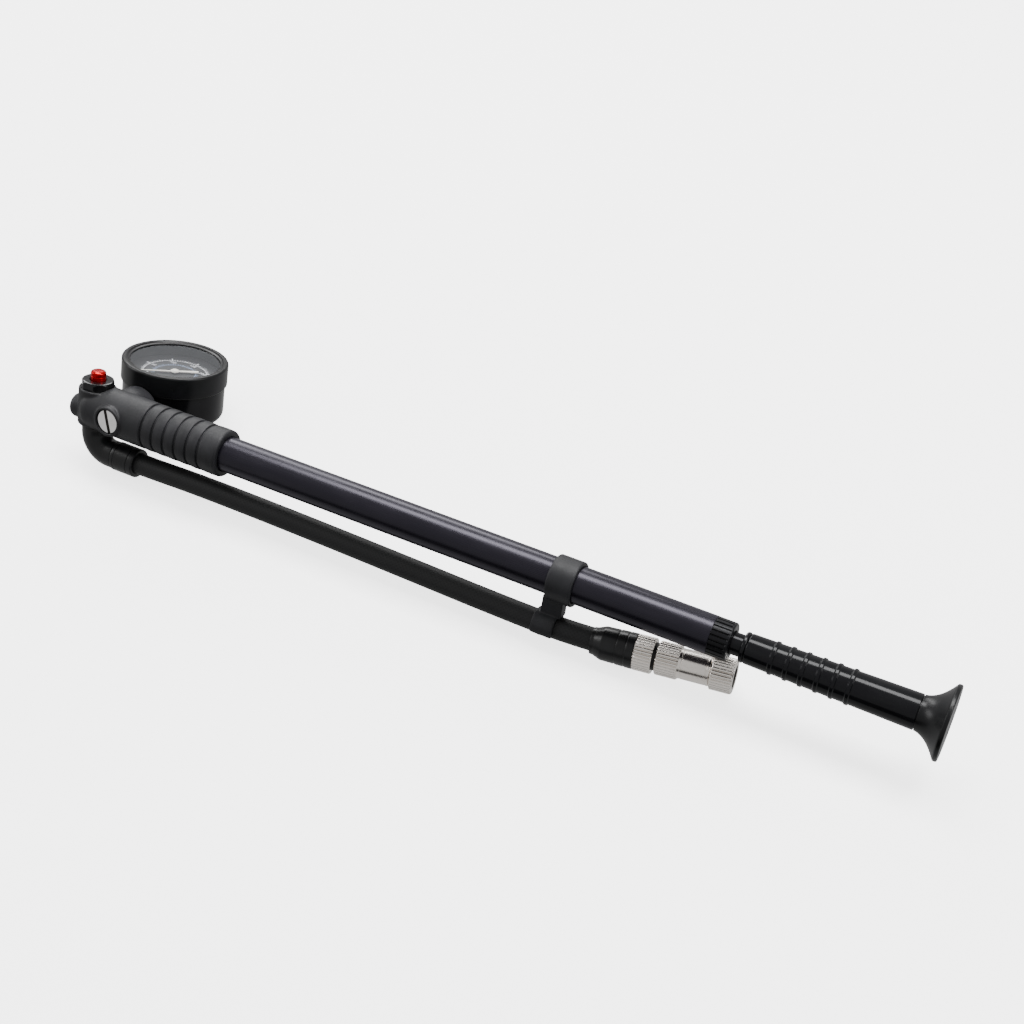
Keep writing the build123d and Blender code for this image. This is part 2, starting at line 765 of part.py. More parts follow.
with BuildPart() as stroke_bumper:
    turned_on(Plane.YZ, gland_start - bumper_length, gland_start, bore_r - end_gap, rod_r + clear)

# ---- Piston and rod ----------------------------------------------------------------------------

piston_face = spigot_end + piston_gap
piston_back = piston_face + piston_length
piston_r = bore_r - 2 * running
journal_start = piston_face + nut_sink
nut_back = journal_start + piston_nut
seal_start = piston_face + seal_from_face
ring_start = gland_end + home_gap
grip_start = ring_start + ring_length
grip_end = grip_start + grip_length
rod_end = grip_start + grip_socket
cap_end = grip_end + cap_length

with BuildPart() as piston:
    turned_on(Plane.YZ, piston_face, piston_back, piston_r, journal_r + running)
    bored_on(Plane.YZ, piston_face, nut_back + end_gap, piston_nut_r + running)
    with BuildSketch(Plane.YZ.offset(seal_start)):
        Circle(piston_r)
        Circle(seal_groove_r, mode=Mode.SUBTRACT)
    extrude(amount=seal_width, mode=Mode.SUBTRACT)

with BuildPart() as piston_seal:
    turned_on(Plane.YZ, seal_start, seal_start + seal_width, bore_r - sealing, seal_groove_r)

with BuildPart() as rod:
    turned_on(Plane.YZ, journal_start, piston_back + end_gap, journal_r)
    turned_on(Plane.YZ, piston_back + end_gap, rod_end, rod_r)
    bored_on(Plane.YZ, piston_back + rod_solid, rod_end, rod_bore_r)

with BuildPart() as rod_nut:
    turned_on(Plane.YZ, journal_start, nut_back, piston_nut_r, journal_r)

# ---- Handle ------------------------------------------------------------------------------------

with BuildPart() as handle_ring:
    turned_on(Plane.YZ, ring_start, grip_start, ring_r, rod_r)
    fillet(handle_ring.edges().filter_by(GeomType.CIRCLE).group_by(SortBy.RADIUS)[-1], ring_round)

with BuildPart() as handle_grip:
    with BuildSketch(Plane.XZ):
        with BuildLine():
            Polyline(
                (grip_start, 0),
                (grip_start, grip_small_r),
                (grip_end, grip_large_r),
                (grip_end, 0),
                close=True,
            )
        make_face()
    revolve(axis=Axis.X)
    grip_slope = (grip_large_r - grip_small_r) / grip_length
    for rib in range(rib_count):
        rib_x = rib_first + rib * rib_pitch
        rib_crest = grip_small_r + grip_slope * rib_x + rib_height
        with BuildSketch(Plane.XZ):
            with Locations((grip_start + rib_x, rib_crest - rib_width / 2)):
                Circle(rib_width / 2)
        revolve(axis=Axis.X)
    bored_on(Plane.YZ, grip_start, rod_end, rod_r)
    bored_on(Plane.YZ, grip_end - cap_spigot, grip_end, cap_spigot_r)

with BuildPart() as handle_cap:
    with BuildSketch(Plane.XZ):
        with BuildLine():
            neck = Line((grip_end, 0), (grip_end, cap_neck_r))
            flare = Spline(
                neck @ 1,
                (grip_end + cap_waist, cap_waist_r),
                (cap_end - cap_rim, cap_rim_r - cap_edge),
                tangents=((1, 0), (cap_flare, 1)),
            )
            Polyline(
                flare @ 1,
                (cap_end - cap_rim + cap_edge, cap_rim_r),
                (cap_end, cap_rim_r),
                (cap_end, 0),
                neck @ 0,
            )
        make_face()
    revolve(axis=Axis.X)
    fillet(handle_cap.edges().filter_by(GeomType.CIRCLE).sort_by(Axis.X)[-1], cap_rim_round)
    turned_on(Plane.YZ, grip_end - cap_spigot, grip_end, cap_spigot_r)

# ---- How it lies -------------------------------------------------------------------------------

pieces = {
    "barrel_tube": barrel_tube,
    "head_core": head_core,
    "head_boot": head_boot,
    "valve_seat": valve_seat,
    "valve_ball": valve_ball,
    "valve_spring": valve_spring,
    "bleed_nut": bleed_nut,
    "bleed_button": bleed_button,
    "bleed_pin": bleed_pin,
    "bleed_seal": bleed_seal,
    "bleed_seat": bleed_seat,
    "bleed_spring": bleed_spring,
    "plug_screw": plug_screw,
    "plug_ring": plug_ring,
    "gauge_case": gauge_case,
    "gauge_bezel": gauge_bezel,
    "gauge_dial": gauge_dial,
    "gauge_spacer": gauge_spacer,
    "gauge_lens": gauge_lens,
    "gauge_plate": gauge_plate,
    "gauge_sector": gauge_sector,
    "needle_staff": needle_staff,
    "gauge_needle": gauge_needle,
    "bourdon_tube": bourdon_tube,
    "gauge_stem": gauge_stem,
    "swivel_ring": swivel_ring,
    "hose_elbow": hose_elbow,
    "hose_ferrule": hose_ferrule,
    "hose": hose,
    "hose_clip": hose_clip,
    "hose_sleeve": hose_sleeve,
    "hose_coupling": hose_coupling,
    "swivel_seal": swivel_seal,
    "chuck_body": chuck_body,
    "chuck_pin": chuck_pin,
    "chuck_seal": chuck_seal,
    "chuck_nut": chuck_nut,
    "barrel_gland": barrel_gland,
    "rod_bush": rod_bush,
    "rod_wiper": rod_wiper,
    "stroke_bumper": stroke_bumper,
    "piston": piston,
    "piston_seal": piston_seal,
    "rod": rod,
    "rod_nut": rod_nut,
    "handle_ring": handle_ring,
    "handle_grip": handle_grip,
    "handle_cap": handle_cap,
}

# The pump rests on the hose sleeve's shoulder, on the ferrule and on the gauge case's far edge. The lean
# is the slope of the line that touches the shoulder's round and the case's rounded edge from below; the
# pitch levels the ferrule with the shoulder.
edge_y = gauge_y + case_r - case_round
edge_z = case_bottom + case_round
shoulder = chuck_axis.position + chuck_direction * sleeve_taper
shoulder_r = sleeve_r - sleeve_step
across = hypot(edge_y - shoulder.Y, edge_z - shoulder.Z)
lean_line = degrees(atan2(edge_z - shoulder.Z, edge_y - shoulder.Y))
lean = lean_line + degrees(asin((shoulder_r - case_round) / across))
shoulder_low = shoulder.Z * cos(radians(lean)) - shoulder.Y * sin(radians(lean)) - shoulder_r
ferrule_low = elbow_z * cos(radians(lean)) - ferrule_r
pitch = degrees(atan2(shoulder_low - ferrule_low, shoulder.X - ferrule_start))

leaning = Location((0, 0, 0), (0, pitch, 0)) * Location((0, 0, 0), (-lean, 0, 0))
whole = Compound([piece.part.moved(leaning) for piece in pieces.values()]).bounding_box()
to_origin = Location((-whole.center().X, -whole.center().Y, -whole.min.Z))
resting = to_origin * leaning

for name, piece in pieces.items():
    piece.part = piece.part.moved(resting)
    piece.part.label = name
    export_step(piece.part, f"parts/{name}.step")

hose_length = sum(edge.length for edge in hose_path.edges())
print("lean", round(lean, 3), "pitch", round(pitch, 3), "box", whole.size)
print("hose bend radii", [round(radius) for radius in hose_radii], "length", round(hose_length, 1))
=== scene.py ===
"""Looks of a hand pump for air suspension: its visible pieces, their finishes, the light and the camera.

Shapes are written in the pump's own frame, in millimetres: X along the barrel to the handle, Z along the
gauge's axis to its glass, Y from the barrel to the gauge, and zero where the bleed button's axis crosses
the barrel's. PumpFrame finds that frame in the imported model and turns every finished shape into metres.
"""

import json
import logging
import math
from dataclasses import dataclass, field
from enum import Enum
from typing import Optional, Sequence, Union

import bmesh
import bpy
import numpy as np
from mathutils import Matrix


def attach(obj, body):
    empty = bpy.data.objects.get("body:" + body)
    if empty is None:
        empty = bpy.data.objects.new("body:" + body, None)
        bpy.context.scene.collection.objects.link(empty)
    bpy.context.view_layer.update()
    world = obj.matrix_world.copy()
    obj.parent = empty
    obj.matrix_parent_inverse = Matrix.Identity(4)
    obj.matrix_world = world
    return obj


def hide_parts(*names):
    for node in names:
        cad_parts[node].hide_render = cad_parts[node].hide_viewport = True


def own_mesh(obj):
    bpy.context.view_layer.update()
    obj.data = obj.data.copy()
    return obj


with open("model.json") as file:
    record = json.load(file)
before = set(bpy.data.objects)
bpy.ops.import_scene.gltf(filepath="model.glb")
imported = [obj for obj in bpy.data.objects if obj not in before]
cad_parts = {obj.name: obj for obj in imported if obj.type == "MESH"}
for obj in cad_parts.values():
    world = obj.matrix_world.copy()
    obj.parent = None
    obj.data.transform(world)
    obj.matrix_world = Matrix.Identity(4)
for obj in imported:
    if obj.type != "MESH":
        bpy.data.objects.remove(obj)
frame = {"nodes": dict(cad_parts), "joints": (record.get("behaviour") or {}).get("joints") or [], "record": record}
log = logging.getLogger("pump")

Array = np.ndarray
Point = tuple[float, float, float]
Colour = tuple[float, float, float]
MM = 0.001
TURN = 2.0 * math.pi


# ---- The pump's own frame ----------------------------------------------------------------------


@dataclass(frozen=True)
class PumpFrame:
    """The pump's own axes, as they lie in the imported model.

    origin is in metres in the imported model, and the rows of axes are the pump's X, Y and Z there.
    """

    origin: Array
    axes: Array

    @classmethod
    def found(cls, joints: Sequence[dict]) -> "PumpFrame":
        """Find the frame from the slides of the piston and the button and the nut round the button.

        Args:
            joints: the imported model's joints.

        Returns:
            The frame.
        """
        by_name = {joint["name"]: joint for joint in joints}
        along = np.array(by_name["piston_slide"]["axis"], float)
        up = -np.array(by_name["bleed_press"]["axis"], float)
        axes = np.array([along, np.cross(up, along), up])
        on_barrel = np.array(by_name["handle_spin"]["pos_m"], float)
        reach = node_points("bleed_nut") @ along
        middle = (reach.min() + reach.max()) / 2
        return cls(on_barrel + (middle - on_barrel @ along) * along, axes)

    def metres(self, points: Array) -> Array:
        """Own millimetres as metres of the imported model: origin plus each coordinate times its axis."""
        return self.origin + (points @ self.axes) * MM

    def direction(self, vector: Sequence[float]) -> Array:
        """A direction of the pump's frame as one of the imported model's."""
        return np.array(vector, float) @ self.axes

    def own(self, metres: Array) -> Array:
        """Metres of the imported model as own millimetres."""
        return ((metres - self.origin) @ self.axes.T) / MM


def node_points(node: str) -> Array:
    """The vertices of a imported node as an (n, 3) array in metres."""
    mesh = frame["nodes"][node].data
    flat = np.empty(len(mesh.vertices) * 3, np.float32)
    mesh.vertices.foreach_get("co", flat)
    return flat.reshape(-1, 3).astype(float)


OWN = PumpFrame.found(frame["joints"])


@dataclass(frozen=True)
class Spindle:
    """An axis that turned pieces share, in the pump's frame: a point, its direction and a side."""

    start: Point
    along: Point
    side: Point

    def place(self, distance: Array, radius: Array, angle: Array) -> Array:
        """Points at a distance along the axis, turned by angle from the side at that radius.

        Args:
            distance: millimetres along the axis.
            radius: millimetres from it.
            angle: radians from the side, by the right hand about the axis.

        Returns:
            An array with a last axis of three: start + distance * along
            + radius * (cos(angle) * side + sin(angle) * along x side).
        """
        along = np.array(self.along, float)
        along = along / np.linalg.norm(along)
        side = np.array(self.side, float)
        side = side - along * (side @ along)
        side = side / np.linalg.norm(side)
        third = np.cross(along, side)
        distance, radius, angle = np.broadcast_arrays(distance, radius, angle)
        return (
            np.array(self.start, float)
            + distance[..., None] * along
            + (radius * np.cos(angle))[..., None] * side
            + (radius * np.sin(angle))[..., None] * third
        )


def chuck_spindle(collar_from: float) -> Spindle:
    """The chuck's axis, from the joint it turns on.

    Args:
        collar_from: how far the joint's point lies from the start of the hose's sleeve.

    Returns:
        A spindle that starts where the sleeve starts.
    """
    joint = next(j for j in frame["joints"] if j["name"] == "chuck_turn")
    along = OWN.axes @ np.array(joint["axis"], float)
    start = OWN.own(np.array(joint["pos_m"], float)) - along * collar_from
    return Spindle(tuple(start), tuple(along), (0.0, 0.0, 1.0))


BARREL = Spindle((0.0, 0.0, 0.0), (1.0, 0.0, 0.0), (0.0, 1.0, 0.0))
BLEED = Spindle((0.0, 0.0, 0.0), (0.0, 0.0, 1.0), (1.0, 0.0, 0.0))
CROSS = Spindle((12.5, 0.0, 0.0), (0.0, 1.0, 0.0), (0.0, 0.0, 1.0))
GAUGE = Spindle((12.5, 32.5, 0.0), (0.0, 0.0, 1.0), (1.0, 0.0, 0.0))
CHUCK = chuck_spindle(24.1)


# ---- Profiles and surfaces ---------------------------------------------------------------------


@dataclass(frozen=True)
class Corner:
    """A corner of a profile: distance along the axis, radius, and the radius it is rounded to."""

    along: float
    out: float
    blunt: float = 0.0


def rounded(corners: Sequence[Corner], closed: bool, steps: int = 5) -> Array:
    """A profile with its corners rounded.

    A corner's round touches both its sides at blunt / tan(half its angle) from it, at most 0.48 of the
    shorter side, and its points are the circle between those two touches.

    Args:
        corners: the profile's corners, in order.
        closed: True for a loop, which every corner then rounds.
        steps: points on one round, less one.

    Returns:
        An (n, 2) array of distance and radius.
    """
    flat = np.array([(c.along, c.out) for c in corners], float)
    pieces: list[Array] = []
    count = len(corners)
    for index, corner in enumerate(corners):
        at_end = not closed and index in (0, count - 1)
        if corner.blunt <= 0 or at_end:
            pieces.append(flat[index][None, :])
            continue
        here = flat[index]
        back, ahead = flat[index - 1] - here, flat[(index + 1) % count] - here
        back_length, ahead_length = np.linalg.norm(back), np.linalg.norm(ahead)
        back, ahead = back / back_length, ahead / ahead_length
        half = math.acos(float(np.clip(back @ ahead, -1.0, 1.0))) / 2
        reach = min(corner.blunt / math.tan(half), 0.48 * min(back_length, ahead_length))
        radius = reach * math.tan(half)
        middle = back + ahead
        centre = here + middle / np.linalg.norm(middle) * (radius / math.sin(half))
        first, last = here + back * reach - centre, here + ahead * reach - centre
        sweep = math.pi - 2 * half
        share = np.linspace(0.0, 1.0, steps + 1)[:, None]
        arc = (np.sin((1 - share) * sweep) * first + np.sin(share * sweep) * last) / math.sin(sweep)
        pieces.append(centre + arc)
    return np.concatenate(pieces)


class Flute(Enum):
    """The cross-section of the ridges round a turned piece."""

    RIDGE = "round ridges with narrow grooves between them"
    SLIT = "a plain surface with narrow slits"


@dataclass(frozen=True)
class Fluting:
    """Ridges along a turned piece, between two distances, fading out over a short run at each end."""

    count: int
    depth: float
    start: float
    end: float
    fade: float = 0.3
    kind: Flute = Flute.RIDGE

    def cut(self, distance: Array, angle: Array) -> Array:
        """How deep the flutes are there.

        The shape across is 1 - |cos(count * angle / 2)| ** 0.7 for ridges, and for slits
        1 - (offset / 0.16) ** 4 over the 0.32 of the pitch round each slit. It is multiplied by ramps
        that rise over fade from both ends.

        Args:
            distance: millimetres along the axis.
            angle: radians.

        Returns:
            The depth in millimetres.
        """
        phase = self.count * angle / TURN
        if self.kind is Flute.RIDGE:
            shape = 1 - np.abs(np.cos(math.pi * phase)) ** 0.7
        else:
            offset = np.abs(phase - np.round(phase))
            shape = np.clip(1 - (offset / 0.16) ** 4, 0.0, 1.0)
        rise = np.clip((distance - self.start) / self.fade, 0.0, 1.0)
        fall = np.clip((self.end - distance) / self.fade, 0.0, 1.0)
        return self.depth * shape * rise * fall


def sheet_faces(rows: int, columns: int, wrap_rows: bool, wrap_columns: bool) -> tuple[Array, Array, Array]:
    """The quads of a grid and, for each of their corners, its row and column counted past the seam.

    Args:
        rows: points down the grid.
        columns: points across it.
        wrap_rows: join the last row to the first.
        wrap_columns: join the last column to the first.

    Returns:
        Vertex numbers (n, 4), row counts (n, 4) and column counts (n, 4).
    """
    row, column = np.meshgrid(
        np.arange(rows if wrap_rows else rows - 1),
        np.arange(columns if wrap_columns else columns - 1),
        indexing="ij",
    )
    row, column = row.ravel()[:, None], column.ravel()[:, None]
    corner_row = row + np.array([0, 0, 1, 1])
    corner_column = column + np.array([0, 1, 1, 0])
    return (corner_row % rows) * columns + corner_column % columns, corner_row, corner_column


def skin(name: str, grid: Array, wrap_rows: bool, wrap_columns: bool, lengths: Optional[Array] = None,
         sharp: float = 40.0) -> bpy.types.Object:
    """A closed mesh from a grid of own points.

    The UV map holds the share of the way round in U and millimetres along the grid's rows in V.

    Args:
        name: the object's name.
        grid: (rows, columns, 3) own points.
        wrap_rows: join the last row to the first.
        wrap_columns: join the last column to the first.
        lengths: millimetres at each row; measured along the first column if left out.
        sharp: edges that turn by more than this many degrees are sharp.

    Returns:
        The object, linked to the scene.
    """
    rows, columns = grid.shape[:2]
    faces, corner_row, corner_column = sheet_faces(rows, columns, wrap_rows, wrap_columns)
    if lengths is None:
        steps = np.linalg.norm(np.diff(grid[:, 0], axis=0, append=grid[:1, 0]), axis=1)
        lengths = np.concatenate([[0.0], np.cumsum(steps)])
    else:
        lengths = np.append(lengths, lengths[-1])
    mesh = bpy.data.meshes.new(name)
    mesh.from_pydata(OWN.metres(grid.reshape(-1, 3)).tolist(), [], faces.tolist())
    uv = mesh.uv_layers.new(name="surface")
    flat = np.stack([corner_column / columns, lengths[corner_row]], axis=-1)
    uv.data.foreach_set("uv", flat.astype(np.float32).ravel())
    work = bmesh.new()
    work.from_mesh(mesh)
    bmesh.ops.remove_doubles(work, verts=work.verts, dist=2e-7)
    bmesh.ops.recalc_face_normals(work, faces=work.faces)
    work.to_mesh(mesh)
    work.free()
    mesh.shade_smooth()
    mesh.set_sharp_from_angle(angle=math.radians(sharp))
    thing = bpy.data.objects.new(name, mesh)
    bpy.context.scene.collection.objects.link(thing)
    return thing


def turned(name: str, spindle: Spindle, corners: Sequence[Corner], steps: int = 128, ring: bool = False,
           flutes: Sequence[Fluting] = (), dense: float = 0.0, soften: bool = True) -> bpy.types.Object:
    """A piece turned on a spindle: its rounded profile carried round the axis.

    A point is start + distance * along + radius * (cos(angle) * side + sin(angle) * third), where radius
    is the profile's less the flutes' depth.

    Args:
        name: the object's name.
        spindle: the axis.
        corners: the profile; an open one starts and ends on the axis.
        steps: points round the axis.
        ring: True if the profile is a loop.
        flutes: ridges on the outside.
        dense: longest run between two rows, or 0 for no limit.
        soften: weigh the normals by face so that long flats stay flat.

    Returns:
        The object.
    """
    profile = rounded(corners, closed=ring)
    if dense > 0:
        profile = refined(profile, dense, ring)
    angle = np.linspace(0.0, TURN, steps, endpoint=False)[None, :]
    distance, radius = profile[:, :1], profile[:, 1:]
    depth = sum((flute.cut(distance, angle) for flute in flutes), np.zeros((1, 1)))
    outside = radius > 0.8 * radius.max()
    thing = skin(name, spindle.place(distance, radius - depth * outside, angle), ring, True)
    if soften:
        thing.modifiers.new("normals", "WEIGHTED_NORMAL").keep_sharp = True
    return thing


def refined(profile: Array, longest: float, closed: bool) -> Array:
    """The profile with even extra points on every run longer than longest.

    Args:
        profile: (n, 2) points.
        longest: millimetres.
        closed: True if the last point joins the first.

    Returns:
        The finer profile.
    """
    ends = np.roll(profile, -1, axis=0) if closed else profile[1:]
    starts = profile if closed else profile[:-1]
    pieces = []
    for start, end in zip(starts, ends):
        parts = max(1, math.ceil(np.linalg.norm(end - start) / longest))
        pieces.append(start + (end - start) * (np.arange(parts) / parts)[:, None])
    if not closed:
        pieces.append(profile[-1:])
    return np.concatenate(pieces)


def bar(start: float, end: float, radius: float, blunt: float = 0.3) -> list[Corner]:
    """The profile of a plain round bar with blunt edges."""
    return [Corner(start, 0), Corner(start, radius, blunt), Corner(end, radius, blunt), Corner(end, 0)]


def swept(name: str, centres: Array, radii: Array, steps: int = 64, sharp: float = 40.0) -> bpy.types.Object:
    """A round tube along a line that stays near the pump's X-Z plane.

    At each centre the ring is centre + radius * (cos(angle) * Y' + sin(angle) * N), where N is the
    tangent x Y and Y' completes the square. The first and last rings close on their centres.

    Args:
        name: the object's name.
        centres: (n, 3) own points.
        radii: (n,) millimetres.
        steps: points round.
        sharp: degrees past which an edge is sharp.

    Returns:
        The object.
    """
    tangent = np.gradient(centres, axis=0)
    tangent /= np.linalg.norm(tangent, axis=1, keepdims=True)
    normal = np.cross(tangent, np.array([0.0, 1.0, 0.0]))
    normal /= np.linalg.norm(normal, axis=1, keepdims=True)
    across = np.cross(normal, tangent)
    angle = np.linspace(0.0, TURN, steps, endpoint=False)[None, :, None]
    ring = np.cos(angle) * across[:, None] + np.sin(angle) * normal[:, None]
    grid = centres[:, None] + radii[:, None, None] * ring
    caps = np.repeat(centres[[0, -1]][:, None], steps, axis=1)
    run = np.concatenate([[0.0], np.cumsum(np.linalg.norm(np.diff(centres, axis=0), axis=1))])
    lengths = np.concatenate([[run[0]], run, [run[-1]]])
    return skin(name, np.concatenate([caps[:1], grid, caps[1:]]), False, True, lengths, sharp)


def block(name: str, low: Point, high: Point) -> bpy.types.Object:
    """A closed box between two own corners, used only to cut or to be melted into another shape.

    Args:
        name: the object's name.
        low: lowest corner.
        high: highest corner.

    Returns:
        The object.
    """
    pick = np.array([[0, 0, 0], [1, 0, 0], [1, 1, 0], [0, 1, 0], [0, 0, 1], [1, 0, 1], [1, 1, 1], [0, 1, 1]])
    points = np.array(low) + pick * (np.array(high) - np.array(low))
    faces = [(0, 3, 2, 1), (4, 5, 6, 7), (0, 1, 5, 4), (1, 2, 6, 5), (2, 3, 7, 6), (3, 0, 4, 7)]
    mesh = bpy.data.meshes.new(name)
    mesh.from_pydata(OWN.metres(points).tolist(), [], faces)
    thing = bpy.data.objects.new(name, mesh)
    bpy.context.scene.collection.objects.link(thing)
    return thing


def settled(thing: bpy.types.Object) -> bpy.types.Object:
    """The object with its modifiers applied to its mesh."""
    graph = bpy.context.evaluated_depsgraph_get()
    mesh = bpy.data.meshes.new_from_object(thing.evaluated_get(graph))
    thing.modifiers.clear()
    thing.data = mesh
    return thing


def joined(name: str, things: Sequence[bpy.types.Object]) -> bpy.types.Object:
    """Several objects as one mesh, and the others removed.

    Args:
        name: the new object's name.
        things: what to join.

    Returns:
        The joined object.
    """
    work = bmesh.new()
    for thing in things:
        work.from_mesh(settled(thing).data)
        bpy.data.objects.remove(thing)
    mesh = bpy.data.meshes.new(name)
    work.to_mesh(mesh)
    work.free()
    whole = bpy.data.objects.new(name, mesh)
    bpy.context.scene.collection.objects.link(whole)
    return whole


def melted(name: str, things: Sequence[bpy.types.Object], grain: float, passes: int) -> bpy.types.Object:
    """Several overlapping solids melted into one with soft inner corners, as moulded rubber has.

    Args:
        name: the new object's name.
        things: the solids.
        grain: size of the new faces in millimetres.
        passes: how often the surface is evened out.

    Returns:
        The melted object.
    """
    whole = joined(name, things)
    remesh = whole.modifiers.new("melt", "REMESH")
    remesh.mode = "VOXEL"
    remesh.voxel_size = grain * MM
    even = whole.modifiers.new("even", "SMOOTH")
    even.factor = 0.5
    even.iterations = passes
    return settled(whole)


def hollowed(thing: bpy.types.Object, cutters: Sequence[bpy.types.Object]) -> bpy.types.Object:
    """The object with each cutter taken out of it, and the cutters removed."""
    for cutter in cutters:
        cut = thing.modifiers.new("cut", "BOOLEAN")
        cut.operation = "DIFFERENCE"
        cut.solver = "EXACT"
        cut.object = cutter
        bpy.context.view_layer.update()
        settled(thing)
        bpy.data.objects.remove(cutter)
    thing.data.shade_smooth()
    thing.data.set_sharp_from_angle(angle=math.radians(40))
    return thing


# ---- Materials ---------------------------------------------------------------------------------


class Wire:
    """One output of a material's node, which takes part in sums as a number would."""

    def __init__(self, sheet: "Sheet", socket: bpy.types.NodeSocket) -> None:
        """Keep the socket and the sheet it is on."""
        self.sheet = sheet
        self.socket = socket

    def _math(self, operation: str, first: "Value", second: "Value") -> "Wire":
        """A Math node of that operation on two values."""
        return self.sheet.node("ShaderNodeMath", {"operation": operation}, {0: first, 1: second})

    def __add__(self, other: "Value") -> "Wire":
        """self + other."""
        return self._math("ADD", self, other)

    def __radd__(self, other: "Value") -> "Wire":
        """other + self."""
        return self._math("ADD", other, self)

    def __sub__(self, other: "Value") -> "Wire":
        """self - other."""
        return self._math("SUBTRACT", self, other)

    def __rsub__(self, other: "Value") -> "Wire":
        """other - self."""
        return self._math("SUBTRACT", other, self)

    def __mul__(self, other: "Value") -> "Wire":
        """self * other."""
        return self._math("MULTIPLY", self, other)

    def __rmul__(self, other: "Value") -> "Wire":
        """other * self."""
        return self._math("MULTIPLY", other, self)

    def __gt__(self, other: "Value") -> "Wire":
        """1 where self is above other, else 0."""
        return self._math("GREATER_THAN", self, other)

    def __pow__(self, other: "Value") -> "Wire":
        """self raised to other."""
        return self._math("POWER", self, other)

    def cos(self) -> "Wire":
        """The cosine of self in radians."""
        return self._math("COSINE", self, 0.0)

    def sin(self) -> "Wire":
        """The sine of self in radians."""
        return self._math("SINE", self, 0.0)

    def above(self, other: "Value") -> "Wire":
        """The larger of the two."""
        return self._math("MAXIMUM", self, other)


Value = Union[Wire, float, tuple]


class Sheet:
    """The node sheet of one material, with a Principled shader at its end."""

    def __init__(self, name: str) -> None:
        """Start an empty material of that name."""
        self.material = bpy.data.materials.new(name)
        self.material.use_nodes = True
        self.tree = self.material.node_tree
        self.tree.nodes.clear()

    def node(self, kind: str, settings: dict, values: dict, output: Union[int, str] = 0) -> Wire:
        """Add a node.

        Args:
            kind: the node's type.
            settings: its own properties, set first; "stops" holds a ramp's (place, grey) pairs.
            values: a number, tuple or Wire for each input, by name or number.
            output: which output to return.

        Returns:
            The output.
        """
        made = self.tree.nodes.new(kind)
        for name, value in settings.items():
            if name == "stops":
                for stop, (place, grey) in zip(made.color_ramp.elements, value):
                    stop.position = place
                    stop.color = (grey, grey, grey, 1.0)
            else:
                setattr(made, name, value)
        for name, value in values.items():
            if isinstance(value, Wire):
                self.tree.links.new(value.socket, made.inputs[name])
            else:
                made.inputs[name].default_value = value
        return Wire(self, made.outputs[output])

    def blend(self, share: Value, first: Value, second: Value) -> Wire:
        """A colour between two, by share."""
        return self.node("ShaderNodeMix", {"data_type": "RGBA"}, {0: share, 6: first, 7: second}, 2)

    def cloud(self, place: Wire, scale: float, detail: float = 3.0) -> Wire:
        """Noise from 0 to 1 of that many lumps per unit of place."""
        return self.node(
            "ShaderNodeTexNoise", {"noise_dimensions": "3D"},
            {"Vector": place, "Scale": scale, "Detail": detail, "Roughness": 0.55}, 0,
        )

    def ramp(self, share: Wire, low: float, high: float) -> Wire:
        """0 below low, 1 above high, and a straight rise between."""
        return self.node("ShaderNodeValToRGB", {"stops": [(low, 0.0), (high, 1.0)]}, {"Fac": share}, 0)

    def own_place(self) -> Wire:
        """Object coordinates in metres turned to lie along the pump's own axes."""
        turn = Matrix(OWN.axes.tolist())
        place = self.node("ShaderNodeTexCoord", {}, {}, "Object")
        return self.node(
            "ShaderNodeMapping", {"vector_type": "POINT"},
            {"Vector": place, "Rotation": tuple(turn.to_euler("XYZ"))}, 0,
        )

    def round_place(self, across: float, along: float) -> Wire:
        """A place that follows the surface of a turned piece and has no seam.

        Args:
            across: how fast the pattern changes round the piece.
            along: how fast it changes along it, per millimetre.

        Returns:
            (cos(turn * U) * across, sin(turn * U) * across, V * along).
        """
        uv = self.node("ShaderNodeUVMap", {"uv_map": "surface"}, {}, 0)
        split = self.node("ShaderNodeSeparateXYZ", {}, {"Vector": uv}, 0)
        node = split.socket.node
        turn = split * TURN
        length = Wire(self, node.outputs[1])
        return self.node(
            "ShaderNodeCombineXYZ", {},
            {0: turn.cos() * across, 1: turn.sin() * across, 2: length * along}, 0,
        )

    def braid(self, strands: int, pitch: float) -> Wire:
        """The height of two families of strands that cross round a tube.

        Each family is |sin(pi * (strands * U +- V / pitch))|, and the higher one shows.

        Args:
            strands: strands of one family round the tube.
            pitch: millimetres along the tube for one strand's width.

        Returns:
            The height from 0 to 1.
        """
        uv = self.node("ShaderNodeUVMap", {"uv_map": "surface"}, {}, 0)
        split = self.node("ShaderNodeSeparateXYZ", {}, {"Vector": uv}, 0)
        length = Wire(self, split.socket.node.outputs[1]) * (math.pi / pitch)
        turn = split * (math.pi * strands)
        one, other = (turn + length).sin(), (turn - length).sin()
        return (one * one).above(other * other)

    def bump(self, height: Wire, distance: float, strength: float, below: Optional[Wire] = None) -> Wire:
        """A normal from a height in units of distance, in millimetres, over another one if given."""
        values: dict = {"Height": height, "Distance": distance * MM, "Strength": strength}
        if below is not None:
            values["Normal"] = below
        return self.node("ShaderNodeBump", {}, values, 0)

    def shade(self, colour: Value, roughness: Value, normal: Optional[Wire], constants: dict) -> None:
        """End the sheet in a Principled shader.

        Args:
            colour: base colour.
            roughness: roughness.
            normal: normal, or None for the surface's own.
            constants: other inputs by name, as plain numbers, or Wires for those that may vary.
        """
        values = {"Base Color": colour, "Roughness": roughness, **constants}
        if normal is not None:
            values["Normal"] = normal
        shader = self.node("ShaderNodeBsdfPrincipled", {}, values, 0)
        self.node_end(shader)

    def node_end(self, shader: Wire) -> None:
        """Join the shader to the material's output."""
        end = self.tree.nodes.new("ShaderNodeOutputMaterial")
        self.tree.links.new(shader.socket, end.inputs["Surface"])


